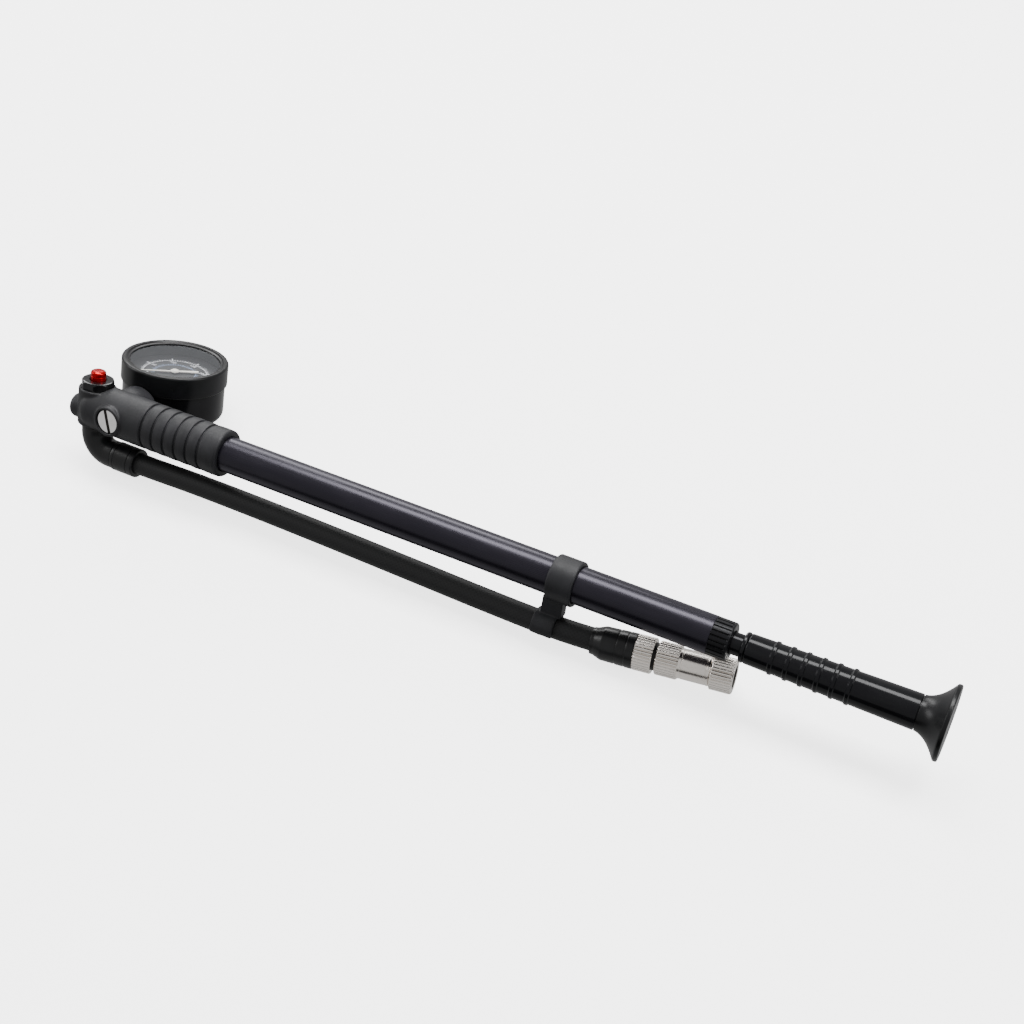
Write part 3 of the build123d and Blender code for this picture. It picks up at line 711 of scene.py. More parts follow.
def rgba(colour: Colour) -> tuple[float, float, float, float]:
    """A colour with full alpha."""
    return (*colour, 1.0)


@dataclass(frozen=True)
class Moulded:
    """Moulded rubber or plastic: a fine grain, soft mottling and rubbed places."""

    name: str
    colour: Colour
    rubbed: Colour
    roughness: float
    spread: float
    grain: float = 0.12
    grain_depth: float = 0.02
    constants: tuple = ()

    def make(self) -> bpy.types.Material:
        """Write the material.

        Returns:
            Colour between colour and rubbed by a cloud of 9 mm; roughness by a cloud of 4 mm; grain as
            bump; and a finer waviness of the surface.
        """
        sheet = Sheet(self.name)
        place = sheet.own_place()
        patch = sheet.ramp(sheet.cloud(place, 110.0, 4.0), 0.42, 0.72)
        smudge = sheet.cloud(place, 260.0, 5.0)
        grain = sheet.cloud(place, 1.0 / (self.grain * MM), 2.0)
        wave = sheet.bump(sheet.cloud(place, 140.0, 1.0), 0.05, 0.35)
        sheet.shade(
            sheet.blend(patch, rgba(self.colour), rgba(self.rubbed)),
            smudge * self.spread + grain * (self.spread * 0.4) + (self.roughness - self.spread * 0.7),
            sheet.bump(grain, self.grain_depth, 0.6, wave),
            dict(self.constants),
        )
        return sheet.material


@dataclass(frozen=True)
class Machined:
    """Metal that was turned or drawn: fine lines one way, small scratches and handled places."""

    name: str
    colour: Colour
    worn: Colour
    metallic: float
    roughness: float
    spread: float
    across: float
    along: float
    line_depth: float = 0.008
    constants: tuple = ()

    def make(self) -> bpy.types.Material:
        """Write the material.

        Returns:
            Lines from a cloud stretched by across and along; a broad cloud that shifts the colour; thin
            scratches where a second, skewed cloud is near its middle.
        """
        sheet = Sheet(self.name)
        lines = sheet.cloud(sheet.round_place(self.across, self.along), 1.0, 2.0)
        patch = sheet.ramp(sheet.cloud(sheet.round_place(1.6, 0.06), 1.0, 4.0), 0.4, 0.75)
        skew = sheet.cloud(sheet.round_place(9.0, 0.9), 1.0, 1.0) - 0.5
        scratch = 1.0 - sheet.ramp(skew * skew, 0.0, 0.00012)
        sheet.shade(
            sheet.blend(patch * 0.6 + scratch * 0.25, rgba(self.colour), rgba(self.worn)),
            lines * self.spread + patch * (self.spread * 0.5) + (self.roughness - self.spread * 0.6),
            sheet.bump(lines, self.line_depth, 0.7),
            {"Metallic": self.metallic, **dict(self.constants)},
        )
        return sheet.material


@dataclass(frozen=True)
class Braided:
    """Hose rubber that shows the braid under its skin."""

    name: str
    colour: Colour
    rubbed: Colour
    roughness: float
    strands: int
    pitch: float
    depth: float

    def make(self) -> bpy.types.Material:
        """Write the material: braid and grain as bump, and the braid's crests a little rubbed."""
        sheet = Sheet(self.name)
        braid = sheet.braid(self.strands, self.pitch)
        cloud = sheet.cloud(sheet.round_place(3.0, 0.25), 1.0, 4.0)
        grain = sheet.cloud(sheet.own_place(), 7000.0, 2.0)
        below = sheet.bump(grain, 0.02, 0.5)
        crest = braid * cloud
        sheet.shade(
            sheet.blend(crest, rgba(self.colour), rgba(self.rubbed)),
            cloud * 0.16 + grain * 0.08 + (self.roughness - braid * 0.07),
            sheet.bump(braid, self.depth, 0.8, below),
            {"Specular IOR Level": 0.25},
        )
        return sheet.material


@dataclass(frozen=True)
class ClearGlass:
    """A thin clear lens: what it mirrors grows towards the edge of the view, and the rest is open."""

    name: str
    strength: float

    def make(self) -> bpy.types.Material:
        """Write the material: a mirror whose cover follows Fresnel's law, with faint smears."""
        sheet = Sheet(self.name)
        edge = sheet.node("ShaderNodeFresnel", {}, {"IOR": 1.49}, 0)
        inside = sheet.node("ShaderNodeNewGeometry", {}, {}, "Backfacing")
        smear = sheet.cloud(sheet.own_place(), 120.0, 4.0)
        sheet.shade(
            (0.92, 0.95, 1.0, 1.0), smear * 0.08 + 0.02, None,
            {"Metallic": 1.0, "Alpha": (edge * self.strength + smear * 0.02) * (1.0 - inside)},
        )
        return sheet.material


DULL = ("Specular IOR Level", 0.3)
SHINY = (("Specular IOR Level", 0.22),)
RUBBER = Moulded("boot_rubber", (0.007, 0.007, 0.0085), (0.013, 0.013, 0.0155), 0.52, 0.18, 0.14, 0.03,
                 (DULL,))
SLEEVE = Moulded("sleeve_rubber", (0.007, 0.007, 0.0075), (0.012, 0.012, 0.013), 0.3, 0.18, 0.2, 0.015,
                 (DULL,))
SEAL = Moulded("seal_rubber", (0.008, 0.008, 0.008), (0.012, 0.012, 0.012), 0.5, 0.2, constants=(DULL,))
GLOSS = Moulded("gloss_black", (0.003, 0.003, 0.0035), (0.006, 0.006, 0.007), 0.15, 0.08, 0.3, 0.003, SHINY)
SATIN = Moulded("satin_black", (0.004, 0.004, 0.0045), (0.008, 0.008, 0.009), 0.3, 0.12, 0.16, 0.006, SHINY)
DIAL = Moulded("dial_black", (0.006, 0.006, 0.007), (0.01, 0.01, 0.011), 0.55, 0.1, 0.1, 0.006, (DULL,))
PRINT = Moulded("dial_white", (0.8, 0.82, 0.86), (0.7, 0.72, 0.76), 0.5, 0.1, 0.1, 0.004)
PRINT_BLUE = Moulded("dial_blue", (0.34, 0.46, 0.68), (0.28, 0.38, 0.56), 0.5, 0.1, 0.1, 0.004)
NEEDLE = Moulded("needle_white", (0.82, 0.8, 0.74), (0.72, 0.7, 0.62), 0.34, 0.12, 0.3, 0.004)
BUSH = Moulded("bush_plastic", (0.6, 0.58, 0.5), (0.52, 0.5, 0.42), 0.45, 0.15)
BRASS = Moulded("valve_brass", (0.62, 0.42, 0.16), (0.5, 0.34, 0.13), 0.32, 0.15, 0.3, 0.004,
                (("Metallic", 1.0),))
STEEL = Moulded("spring_steel", (0.5, 0.5, 0.5), (0.4, 0.4, 0.4), 0.3, 0.15, 0.3, 0.004,
                (("Metallic", 1.0),))
ALLOY = Moulded("head_metal", (0.55, 0.55, 0.56), (0.42, 0.42, 0.43), 0.38, 0.15, 0.3, 0.004,
                (("Metallic", 1.0),))
ANODISED = Machined("barrel_anodised", (0.006, 0.0052, 0.0085), (0.0105, 0.0095, 0.014), 0.35, 0.27, 0.08,
                    26.0, 0.05,
                    constants=(("Specular IOR Level", 0.5), ("Specular Tint", (0.9, 0.86, 1.0, 1.0))))
ROD = Machined("rod_black", (0.008, 0.008, 0.009), (0.014, 0.014, 0.016), 0.5, 0.14, 0.08, 3.0, 6.0,
               constants=SHINY)
HANDLE = Machined("handle_black", (0.004, 0.004, 0.005), (0.009, 0.009, 0.01), 0.2, 0.15, 0.07, 3.0, 5.0,
                  0.004, SHINY)
GLAND = Machined("gland_black", (0.006, 0.006, 0.007), (0.012, 0.012, 0.014), 0.4, 0.3, 0.12, 12.0, 3.0,
                 constants=SHINY)
NUT = Machined("nut_black", (0.005, 0.005, 0.006), (0.012, 0.012, 0.013), 0.4, 0.15, 0.08, 6.0, 3.0, 0.004,
               (("Specular IOR Level", 0.45),))
RED = Machined("button_red", (0.36, 0.0015, 0.003), (0.46, 0.003, 0.005), 0.75, 0.2, 0.08, 8.0, 4.0, 0.004,
               (("Specular IOR Level", 0.3),))
CHROME = Machined("screw_chrome", (0.94, 0.93, 0.92), (0.8, 0.79, 0.78), 1.0, 0.1, 0.12, 2.0, 9.0, 0.004)
NICKEL = Machined("chuck_nickel", (0.93, 0.88, 0.83), (0.76, 0.71, 0.65), 1.0, 0.2, 0.12, 3.0, 9.0, 0.006)
# Near-black metal for recesses: in the chuck nut's threaded bore it is tarnished brass darkened further as painted
# shade, and in the plug screw's slot it is painted shade.
TARNISH_AND_SHADE = Machined("chuck_bore", (0.06, 0.055, 0.05), (0.03, 0.028, 0.026), 1.0, 0.4, 0.12, 3.0, 9.0, 0.006)
HOSE = Braided("hose_rubber", (0.008, 0.008, 0.0085), (0.017, 0.017, 0.018), 0.5, 18, 1.6, 0.02)
LENS = ClearGlass("lens_clear", 1.45)

Finish = Union[Moulded, Machined, Braided, ClearGlass]


class Paint:
    """Gives pieces their finish, and makes each finish's material once."""

    def __init__(self) -> None:
        """Start with no material made."""
        self.made: dict[str, bpy.types.Material] = {}

    def dress(self, thing: bpy.types.Object, finish: Finish) -> None:
        """Put the finish on the object.

        Args:
            thing: the object.
            finish: what it is finished in.
        """
        if finish.name not in self.made:
            self.made[finish.name] = finish.make()
        if thing.material_slots:
            thing.material_slots[0].material = self.made[finish.name]
        else:
            thing.data.materials.append(self.made[finish.name])

    def dress_near(
        self, thing: bpy.types.Object, finish: Finish, spindle: Spindle, reach: float,
        beyond: float = -math.inf,
    ) -> None:
        """Put a second finish on the faces whose middle is nearer to an axis than reach.

        Args:
            thing: the object, which has its first finish.
            finish: the second finish.
            spindle: the axis.
            reach: millimetres.
            beyond: how far along the axis those faces start, in millimetres.
        """
        if finish.name not in self.made:
            self.made[finish.name] = finish.make()
        mesh = thing.data
        mesh.materials.append(self.made[finish.name])
        middles = np.empty(len(mesh.polygons) * 3, np.float32)
        mesh.polygons.foreach_get("center", middles)
        offset = OWN.own(middles.reshape(-1, 3).astype(float)) - np.array(spindle.start)
        along = np.array(spindle.along) / np.linalg.norm(spindle.along)
        height = offset @ along
        distance = np.linalg.norm(offset - height[:, None] * along, axis=1)
        chosen = (distance < reach) & (height > beyond)
        mesh.polygons.foreach_set("material_index", chosen.astype(np.int32))


PAINT = Paint()
SLOT_OF = {entry["node"]: entry["material_slot"] for entry in frame["record"]["subparts"]}
BODY_OF = {node: body for body, nodes in frame["record"]["behaviour"]["bodies"].items() for node in nodes}


def fit(thing: bpy.types.Object, node: str, finish: Finish, *others: str) -> bpy.types.Object:
    """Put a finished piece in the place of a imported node.

    Args:
        thing: the piece.
        node: the node it stands for, whose body it rides on.
        finish: its finish.
        others: further nodes that it stands for.

    Returns:
        The piece.
    """
    PAINT.dress(thing, finish)
    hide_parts(node, *others)
    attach(thing, BODY_OF[node])
    size = len(thing.data.vertices)
    log.info("%s stands for %s on %s, %d vertices", thing.name, node, BODY_OF[node], size)
    return thing


# ---- Sub-assemblies ----------------------------------------------------------------------------


@dataclass
class Barrel:
    """The tube, and the gland that closes its open end round the rod."""

    radius: float = 7.0
    wall: float = 1.0
    start: float = 24.5
    end: float = 262.8
    gland_end: float = 269.8
    gland_radius: float = 6.95
    gland_bore: float = 4.3
    ribs: int = 24

    def build(self) -> None:
        """Make the tube and the ribbed gland."""
        inner = self.radius - self.wall
        tube = turned("barrel", BARREL, [
            Corner(self.start, inner), Corner(self.start, self.radius), Corner(self.end, self.radius, 0.25),
            Corner(self.end, inner),
        ], 160, ring=True)
        fit(tube, "barrel_tube", ANODISED)
        spigot = self.end - 10.8
        gland = turned("gland", BARREL, [
            Corner(spigot, self.gland_bore + 1), Corner(spigot, inner), Corner(self.end, inner),
            Corner(self.end + 0.02, self.gland_radius, 0.15), Corner(self.gland_end, self.gland_radius, 0.7),
            Corner(self.gland_end, self.gland_bore, 0.3), Corner(self.end + 1.2, self.gland_bore),
            Corner(self.end + 1.2, self.gland_bore + 1),
        ], 384, ring=True, dense=0.5, soften=False, flutes=[
            Fluting(self.ribs, 0.55, self.end - 0.2, self.gland_end - 0.55, 0.35, Flute.SLIT),
        ])
        fit(gland, "barrel_gland", GLAND)


@dataclass
class Head:
    """The rubber boot over the head, with the bleed valve's nut and button and the plug screw."""

    boot_radius: float = 9.4
    boot_nose: float = -3.6
    boot_end: float = 62.8
    groove_first: float = 28.0
    groove_pitch: float = 5.32
    grooves: int = 6
    groove_width: float = 1.0
    groove_depth: float = 0.7
    nut_across: float = 12.2
    nut_foot: float = 7.4
    nut_top: float = 11.4
    nut_sides: int = 8
    button_radius: float = 3.0
    button_top: float = 15.2
    screw_radius: float = 4.87
    screw_face: float = -9.4

    def boot(self) -> bpy.types.Object:
        """The boot: five round solids melted into one and hollowed, and the grooved tail behind them.

        Returns:
            The boot.
        """
        tail = self.groove_first - self.groove_width / 2
        solids = [
            turned("thick", BARREL, [
                Corner(self.boot_nose, 0), Corner(self.boot_nose, self.boot_radius, 6.5),
                Corner(tail, self.boot_radius, 0.3), Corner(tail, 0),
            ]),
            turned("boss", BLEED, bar(-7.2, 8.2, 7.4, 0.5)),
            turned("bump", Spindle((0.0, 0.0, -2.3), (1.0, 0.0, 0.0), (0.0, 1.0, 0.0)),
                   bar(-10.7, 2.0, 5.05, 2.2)),
            turned("collar", CROSS, bar(0.0, 10.8, 9.05, 0.6)),
            turned("lip", CROSS, bar(-9.95, 0.0, 6.15, 0.5)),
        ]
        body = melted("boot", solids, 0.33, 7)
        body = hollowed(body, [
            turned("cut_core", BARREL, bar(0.0, 24.5, 7.9, 0)),
            turned("cut_barrel", BARREL, bar(24.0, 30.0, 7.0, 0)),
            turned("cut_boss", BLEED, bar(-9.5, 8.0, 6.0, 0)),
            turned("cut_nut", BLEED, bar(self.nut_foot, 10.0, 6.68, 0)),
            turned("cut_swivel", BLEED, bar(-10.0, -7.2, 6.3, 0)),
            turned("cut_screw", CROSS, bar(-12.0, -6.4, self.screw_radius + 0.22, 0)),
            turned("cut_stem", CROSS, bar(3.4, 12.0, 4.0, 0)),
        ])
        return joined("boot", [body, self.tail(tail)])

    def tail(self, start: float) -> bpy.types.Object:
        """The grooved sleeve behind the head, each band a little crowned.

        Args:
            start: where it begins.

        Returns:
            The sleeve.
        """
        floor = self.boot_radius - self.groove_depth
        corners = [Corner(start, 7.0), Corner(start, floor)]
        for ring in range(self.grooves):
            left = self.groove_first + ring * self.groove_pitch + self.groove_width / 2
            last = ring == self.grooves - 1
            right = self.boot_end if last else left + self.groove_pitch - self.groove_width
            corners += [
                Corner(left, floor, 0.12),
                Corner(left + 0.08, self.boot_radius - 0.08, 0.42),
                Corner((left + right) / 2, self.boot_radius + 0.02, 8.0),
                Corner(right - 0.08, self.boot_radius - 0.08, 2.0 if last else 0.42),
            ]
            corners.append(Corner(right, 7.0, 0.3) if last else Corner(right, floor, 0.12))
        return turned("tail", BARREL, corners, 144, ring=True)

    def nut(self) -> bpy.types.Object:
        """The eight-sided nut: its radius is the polygon's, cut down by a cone at the top.

        The polygon's radius is half the width over cos(angle to the nearest flat's middle).

        Returns:
            The nut.
        """
        flat = self.nut_across / 2
        rows = rounded([
            Corner(self.nut_foot, 5.0), Corner(self.nut_foot, 6.55, 0.15),
            Corner(self.nut_foot + 0.9, 6.6, 0.25),
            Corner(self.nut_foot + 1.05, 6.5), Corner(self.nut_top - 0.7, 6.5),
            Corner(self.nut_top - 0.12, 6.05),
            Corner(self.nut_top, 5.6, 0.15), Corner(self.nut_top, 3.55, 0.12),
            Corner(self.nut_top - 0.7, self.button_radius + 0.08), Corner(3.2, self.button_radius + 0.08),
            Corner(3.2, 3.9), Corner(self.nut_foot, 3.9),
        ], closed=True)
        rows = refined(rows, 0.35, True)
        angle = np.linspace(0.0, TURN, 320, endpoint=False)[None, :]
        wedge = TURN / self.nut_sides
        polygon = (flat / np.cos((angle + wedge / 2) % wedge - wedge / 2)) * 0.998
        above = (rows[:, :1] > self.nut_foot + 0.95) & (rows[:, 1:] > 5.2)
        radius = np.where(above, np.minimum(rows[:, 1:], polygon), rows[:, 1:])
        return skin("nut", BLEED.place(rows[:, :1], radius, angle), True, True, sharp=32.0)

    def screw(self) -> bpy.types.Object:
        """The plug screw with its straight slot.

        Returns:
            The screw.
        """
        face = self.screw_face
        head = turned("screw", CROSS, [
            Corner(-3.2, 0), Corner(-3.2, 3.2), Corner(-7.0, 3.2), Corner(-7.0, self.screw_radius, 0.1),
            Corner(face, self.screw_radius, 0.45), Corner(face - 0.05, 0),
        ], 128)
        slot = block("slot", (11.8, face - 1.0, -8.0), (13.2, face + 1.7, 8.0))
        tilt = math.radians(-16.0)
        centre = np.array([12.5, 0.0, 0.0])
        own = OWN.own(np.array([v.co[:] for v in slot.data.vertices])) - centre
        across, down = math.cos(tilt), math.sin(tilt)
        turn = np.array([[across, 0, down], [0, 1, 0], [-down, 0, across]])
        slot.data.vertices.foreach_set("co", OWN.metres(own @ turn.T + centre).ravel())
        head = hollowed(settled(head), [slot])
        edge = head.modifiers.new("edge", "BEVEL")
        edge.width = 0.09 * MM
        edge.segments = 2
        edge.limit_method = "ANGLE"
        edge.angle_limit = math.radians(50)
        return settled(head)

    def build(self) -> None:
        """Make the head's pieces."""
        fit(self.boot(), "head_boot", RUBBER)
        fit(self.nut(), "bleed_nut", NUT)
        top = self.button_top
        button = turned("button", BLEED, [
            Corner(8.2, 0), Corner(8.2, 3.45, 0.1), Corner(9.3, 3.45, 0.1), Corner(9.35, self.button_radius),
            Corner(top - 2.35, self.button_radius, 0.1), Corner(top - 2.2, self.button_radius - 0.12, 0.1),
            Corner(top - 2.05, self.button_radius, 0.1), Corner(top - 0.6, self.button_radius, 0.7),
            Corner(top - 0.05, 1.9, 0.8), Corner(top, 0),
        ], 96)
        fit(button, "bleed_button", RED)
        screw = self.screw()
        PAINT.dress(screw, CHROME)
        # The slot's floor and walls take the near-black metal as painted shade.
        PAINT.dress_near(screw, TARNISH_AND_SHADE, CROSS, self.screw_radius - 0.5, self.screw_face + 0.3)
        fit(screw, "plug_screw", CHROME)


@dataclass
class Gauge:
    """The gauge: case, bezel, glass, dial with its marks, and needle."""

    case_radius: float = 20.6
    case_bottom: float = -8.4
    case_top: float = 8.1
    bezel_radius: float = 21.4
    bezel_bottom: float = 6.0
    bezel_top: float = 15.0
    opening: float = 17.8
    dial_top: float = 8.7
    lens_top: float = 13.8
    zero_angle: float = 221.0
    sweep: float = 270.0
    needle_tip: float = 13.5
    needle_tail: float = 9.5
    numbers: tuple = (0, 50, 100, 150, 200, 250, 300)

    def case(self) -> bpy.types.Object:
        """The black cup that holds the works."""
        wall = 1.5
        return turned("case", GAUGE, [
            Corner(self.case_bottom, 0), Corner(self.case_bottom, self.case_radius, 2.8),
            Corner(self.case_top, self.case_radius), Corner(self.case_top, self.case_radius - wall),
            Corner(self.case_bottom + wall, self.case_radius - wall, 1.5),
            Corner(self.case_bottom + wall, 0),
        ], 192)

    def bezel(self) -> bpy.types.Object:
        """The ring round the glass: a broad rim, a sunk step and a sloping inner ring."""
        top = self.bezel_top
        return turned("bezel", GAUGE, [
            Corner(self.bezel_bottom, self.case_radius + 0.02),
            Corner(self.bezel_bottom, self.bezel_radius, 0.4),
            Corner(top - 0.05, self.bezel_radius, 1.1), Corner(top, self.bezel_radius - 1.9, 0.5),
            Corner(top - 0.55, self.opening + 1.1, 0.3), Corner(top - 0.75, self.opening + 0.35, 0.15),
            Corner(self.lens_top + 0.02, self.opening, 0.15),
            Corner(self.lens_top + 0.02, self.case_radius + 0.02),
        ], 224, ring=True)

    def arc_marks(self, name: str, inner: float, outer: Array, width: Array, count: int) -> bpy.types.Object:
        """Straight marks round the scale.

        Mark k stands at zero_angle - k * sweep / (count - 1); its corners are its direction times inner
        or outer plus or minus half its width across.

        Args:
            name: the object's name.
            inner: radius where every mark starts.
            outer: radius where each ends.
            width: width of each.
            count: how many.

        Returns:
            The marks as one mesh of thin plates.
        """
        angle = np.radians(self.zero_angle - self.sweep * np.arange(count) / (count - 1))
        out = np.stack([np.cos(angle), np.sin(angle), np.zeros(count)], -1)[:, None, :]
        side = np.stack([-np.sin(angle), np.cos(angle), np.zeros(count)], -1)[:, None, :]
        reach = np.stack([np.full(count, inner), outer, outer, np.full(count, inner)], -1)[..., None]
        half = (width[:, None] * np.array([-0.5, -0.5, 0.5, 0.5]))[..., None]
        points = np.array(GAUGE.start) + out * reach + side * half + np.array([0, 0, self.dial_top + 0.02])
        return self.plates(name, points)

    def plates(self, name: str, corners: Array) -> bpy.types.Object:
        """Thin plates from the four corners of each.

        Args:
            name: the object's name.
            corners: (count, 4, 3) own points.

        Returns:
            The object.
        """
        mesh = bpy.data.meshes.new(name)
        faces = np.arange(corners.shape[0] * 4).reshape(-1, 4)
        mesh.from_pydata(OWN.metres(corners.reshape(-1, 3)).tolist(), [], faces[:, ::-1].tolist())
        thing = bpy.data.objects.new(name, mesh)
        bpy.context.scene.collection.objects.link(thing)
        return thing

    def arc_line(self, name: str, inner: float, outer: float) -> bpy.types.Object:
        """A thin printed arc along the whole scale."""
        angle = np.radians(self.zero_angle - self.sweep * np.linspace(0, 1, 145))
        rim = np.stack([np.cos(angle), np.sin(angle), np.zeros(145)], -1)
        lift = np.array([0, 0, self.dial_top + 0.02]) + np.array(GAUGE.start)
        near, far = lift + rim * inner, lift + rim * outer
        return self.plates(name, np.stack([near[:-1], far[:-1], far[1:], near[1:]], axis=1))

    def figure(self, text: str, centre: Array, height: float) -> bpy.types.Object:
        """A number on the dial, upright along the pump's Y.

        Args:
            text: the digits.
            centre: own place of its middle.
            height: millimetres.

        Returns:
            The number as a flat mesh.
        """
        curve = bpy.data.curves.new("figure", "FONT")
        curve.body = text
        curve.size = height * 1.4
        curve.align_x = "CENTER"
        curve.align_y = "CENTER"
        curve.resolution_u = 3
        writer = bpy.data.objects.new("figure", curve)
        bpy.context.scene.collection.objects.link(writer)
        bpy.context.view_layer.update()
        mesh = bpy.data.meshes.new_from_object(writer.evaluated_get(bpy.context.evaluated_depsgraph_get()))
        bpy.data.objects.remove(writer)
        flat = np.empty(len(mesh.vertices) * 3, np.float32)
        mesh.vertices.foreach_get("co", flat)
        mesh.vertices.foreach_set("co", OWN.metres(flat.reshape(-1, 3) + centre).astype(np.float32).ravel())
        mesh.materials.clear()
        thing = bpy.data.objects.new("figure", mesh)
        bpy.context.scene.collection.objects.link(thing)
        return thing

    def marks(self) -> list[bpy.types.Object]:
        """The white outer scale with its numbers and the blue inner one.

        Returns:
            The white marks and the blue marks.
        """
        fine = np.arange(61)
        long, middle = fine % 10 == 0, fine % 5 == 0
        outer = self.arc_marks("ticks", 12.9, np.where(long, 15.0, np.where(middle, 14.4, 13.9)),
                               np.where(long, 0.44, 0.22), 61)
        figures = []
        for index, number in enumerate(self.numbers):
            angle = math.radians(self.zero_angle - self.sweep * index / (len(self.numbers) - 1))
            out = np.array([math.cos(angle), math.sin(angle), 0.0]) * 11.2
            lift = np.array([0, 0, self.dial_top + 0.02])
            figures.append(self.figure(str(number), np.array(GAUGE.start) + out + lift, 1.5))
        white = joined("dial_marks", [outer, self.arc_line("arc", 12.75, 12.95), *figures])
        steps = np.arange(43)
        inner = self.arc_marks("fine_ticks", 8.3, np.where(steps % 2 == 0, 9.6, 9.1), np.full(43, 0.18), 43)
        blue = joined("dial_marks_inner", [inner, self.arc_line("inner_arc", 8.18, 8.32)])
        return [white, blue]

    def needle(self) -> bpy.types.Object:
        """The needle: a thin tapering tip, a broad tail and a stepped hub.

        Returns:
            The needle.
        """
        angle = math.radians(self.zero_angle)
        out = np.array([math.cos(angle), math.sin(angle), 0.0])
        side = np.array([-math.sin(angle), math.cos(angle), 0.0])
        low = self.dial_top + 0.6
        base = np.array(GAUGE.start) + np.array([0, 0, low])
        tail, tip = self.needle_tail, self.needle_tip
        stations = np.array([-tail, -tail + 0.4, 0.0, tip - 0.2, tip])
        widths = np.array([0.75, 0.9, 0.5, 0.11, 0.05])
        loop = np.array([[-1, 0.0], [1, 0.0], [0.86, 0.32], [0, 0.4], [-0.86, 0.32]])
        grid = (
            base
            + stations[:, None, None] * out
            + (widths[:, None] * loop[None, :, 0])[..., None] * side
            + loop[None, :, 1, None] * np.array([0, 0, 1.0])
        )
        caps = np.repeat(grid.mean(axis=1, keepdims=True), grid.shape[1], axis=1)
        blade = skin("blade", np.concatenate([caps[:1], grid, caps[-1:]]), False, True, sharp=60.0)
        hub = turned("hub", GAUGE, [
            Corner(low, 0), Corner(low, 1.75, 0.05), Corner(low + 0.45, 1.75, 0.12), Corner(low + 0.5, 1.3),
            Corner(low + 0.8, 1.2, 0.15), Corner(low + 0.8, 0),
        ], 64)
        return joined("needle", [blade, hub])

    def build(self) -> None:
        """Make the gauge's pieces."""
        fit(self.case(), "gauge_case", GLOSS)
        fit(self.bezel(), "gauge_bezel", SATIN)
        dial = turned("dial", GAUGE, [
            Corner(self.case_top, 0.8), Corner(self.case_top, 19.9), Corner(self.dial_top, 19.9, 0.1),
            Corner(self.dial_top, 0.8),
        ], 128, ring=True)
        fit(dial, "gauge_dial", DIAL)
        for mark, finish in zip(self.marks(), (PRINT, PRINT_BLUE)):
            PAINT.dress(mark, finish)
            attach(mark, BODY_OF["gauge_dial"])
            log.info("%s lies on the dial", mark.name)
        fit(self.needle(), "gauge_needle", NEEDLE)
        lens = turned("lens", GAUGE, bar(self.lens_top - 1.2, self.lens_top, 20.5, 0.05), 128)
        fit(lens, "gauge_lens", LENS)


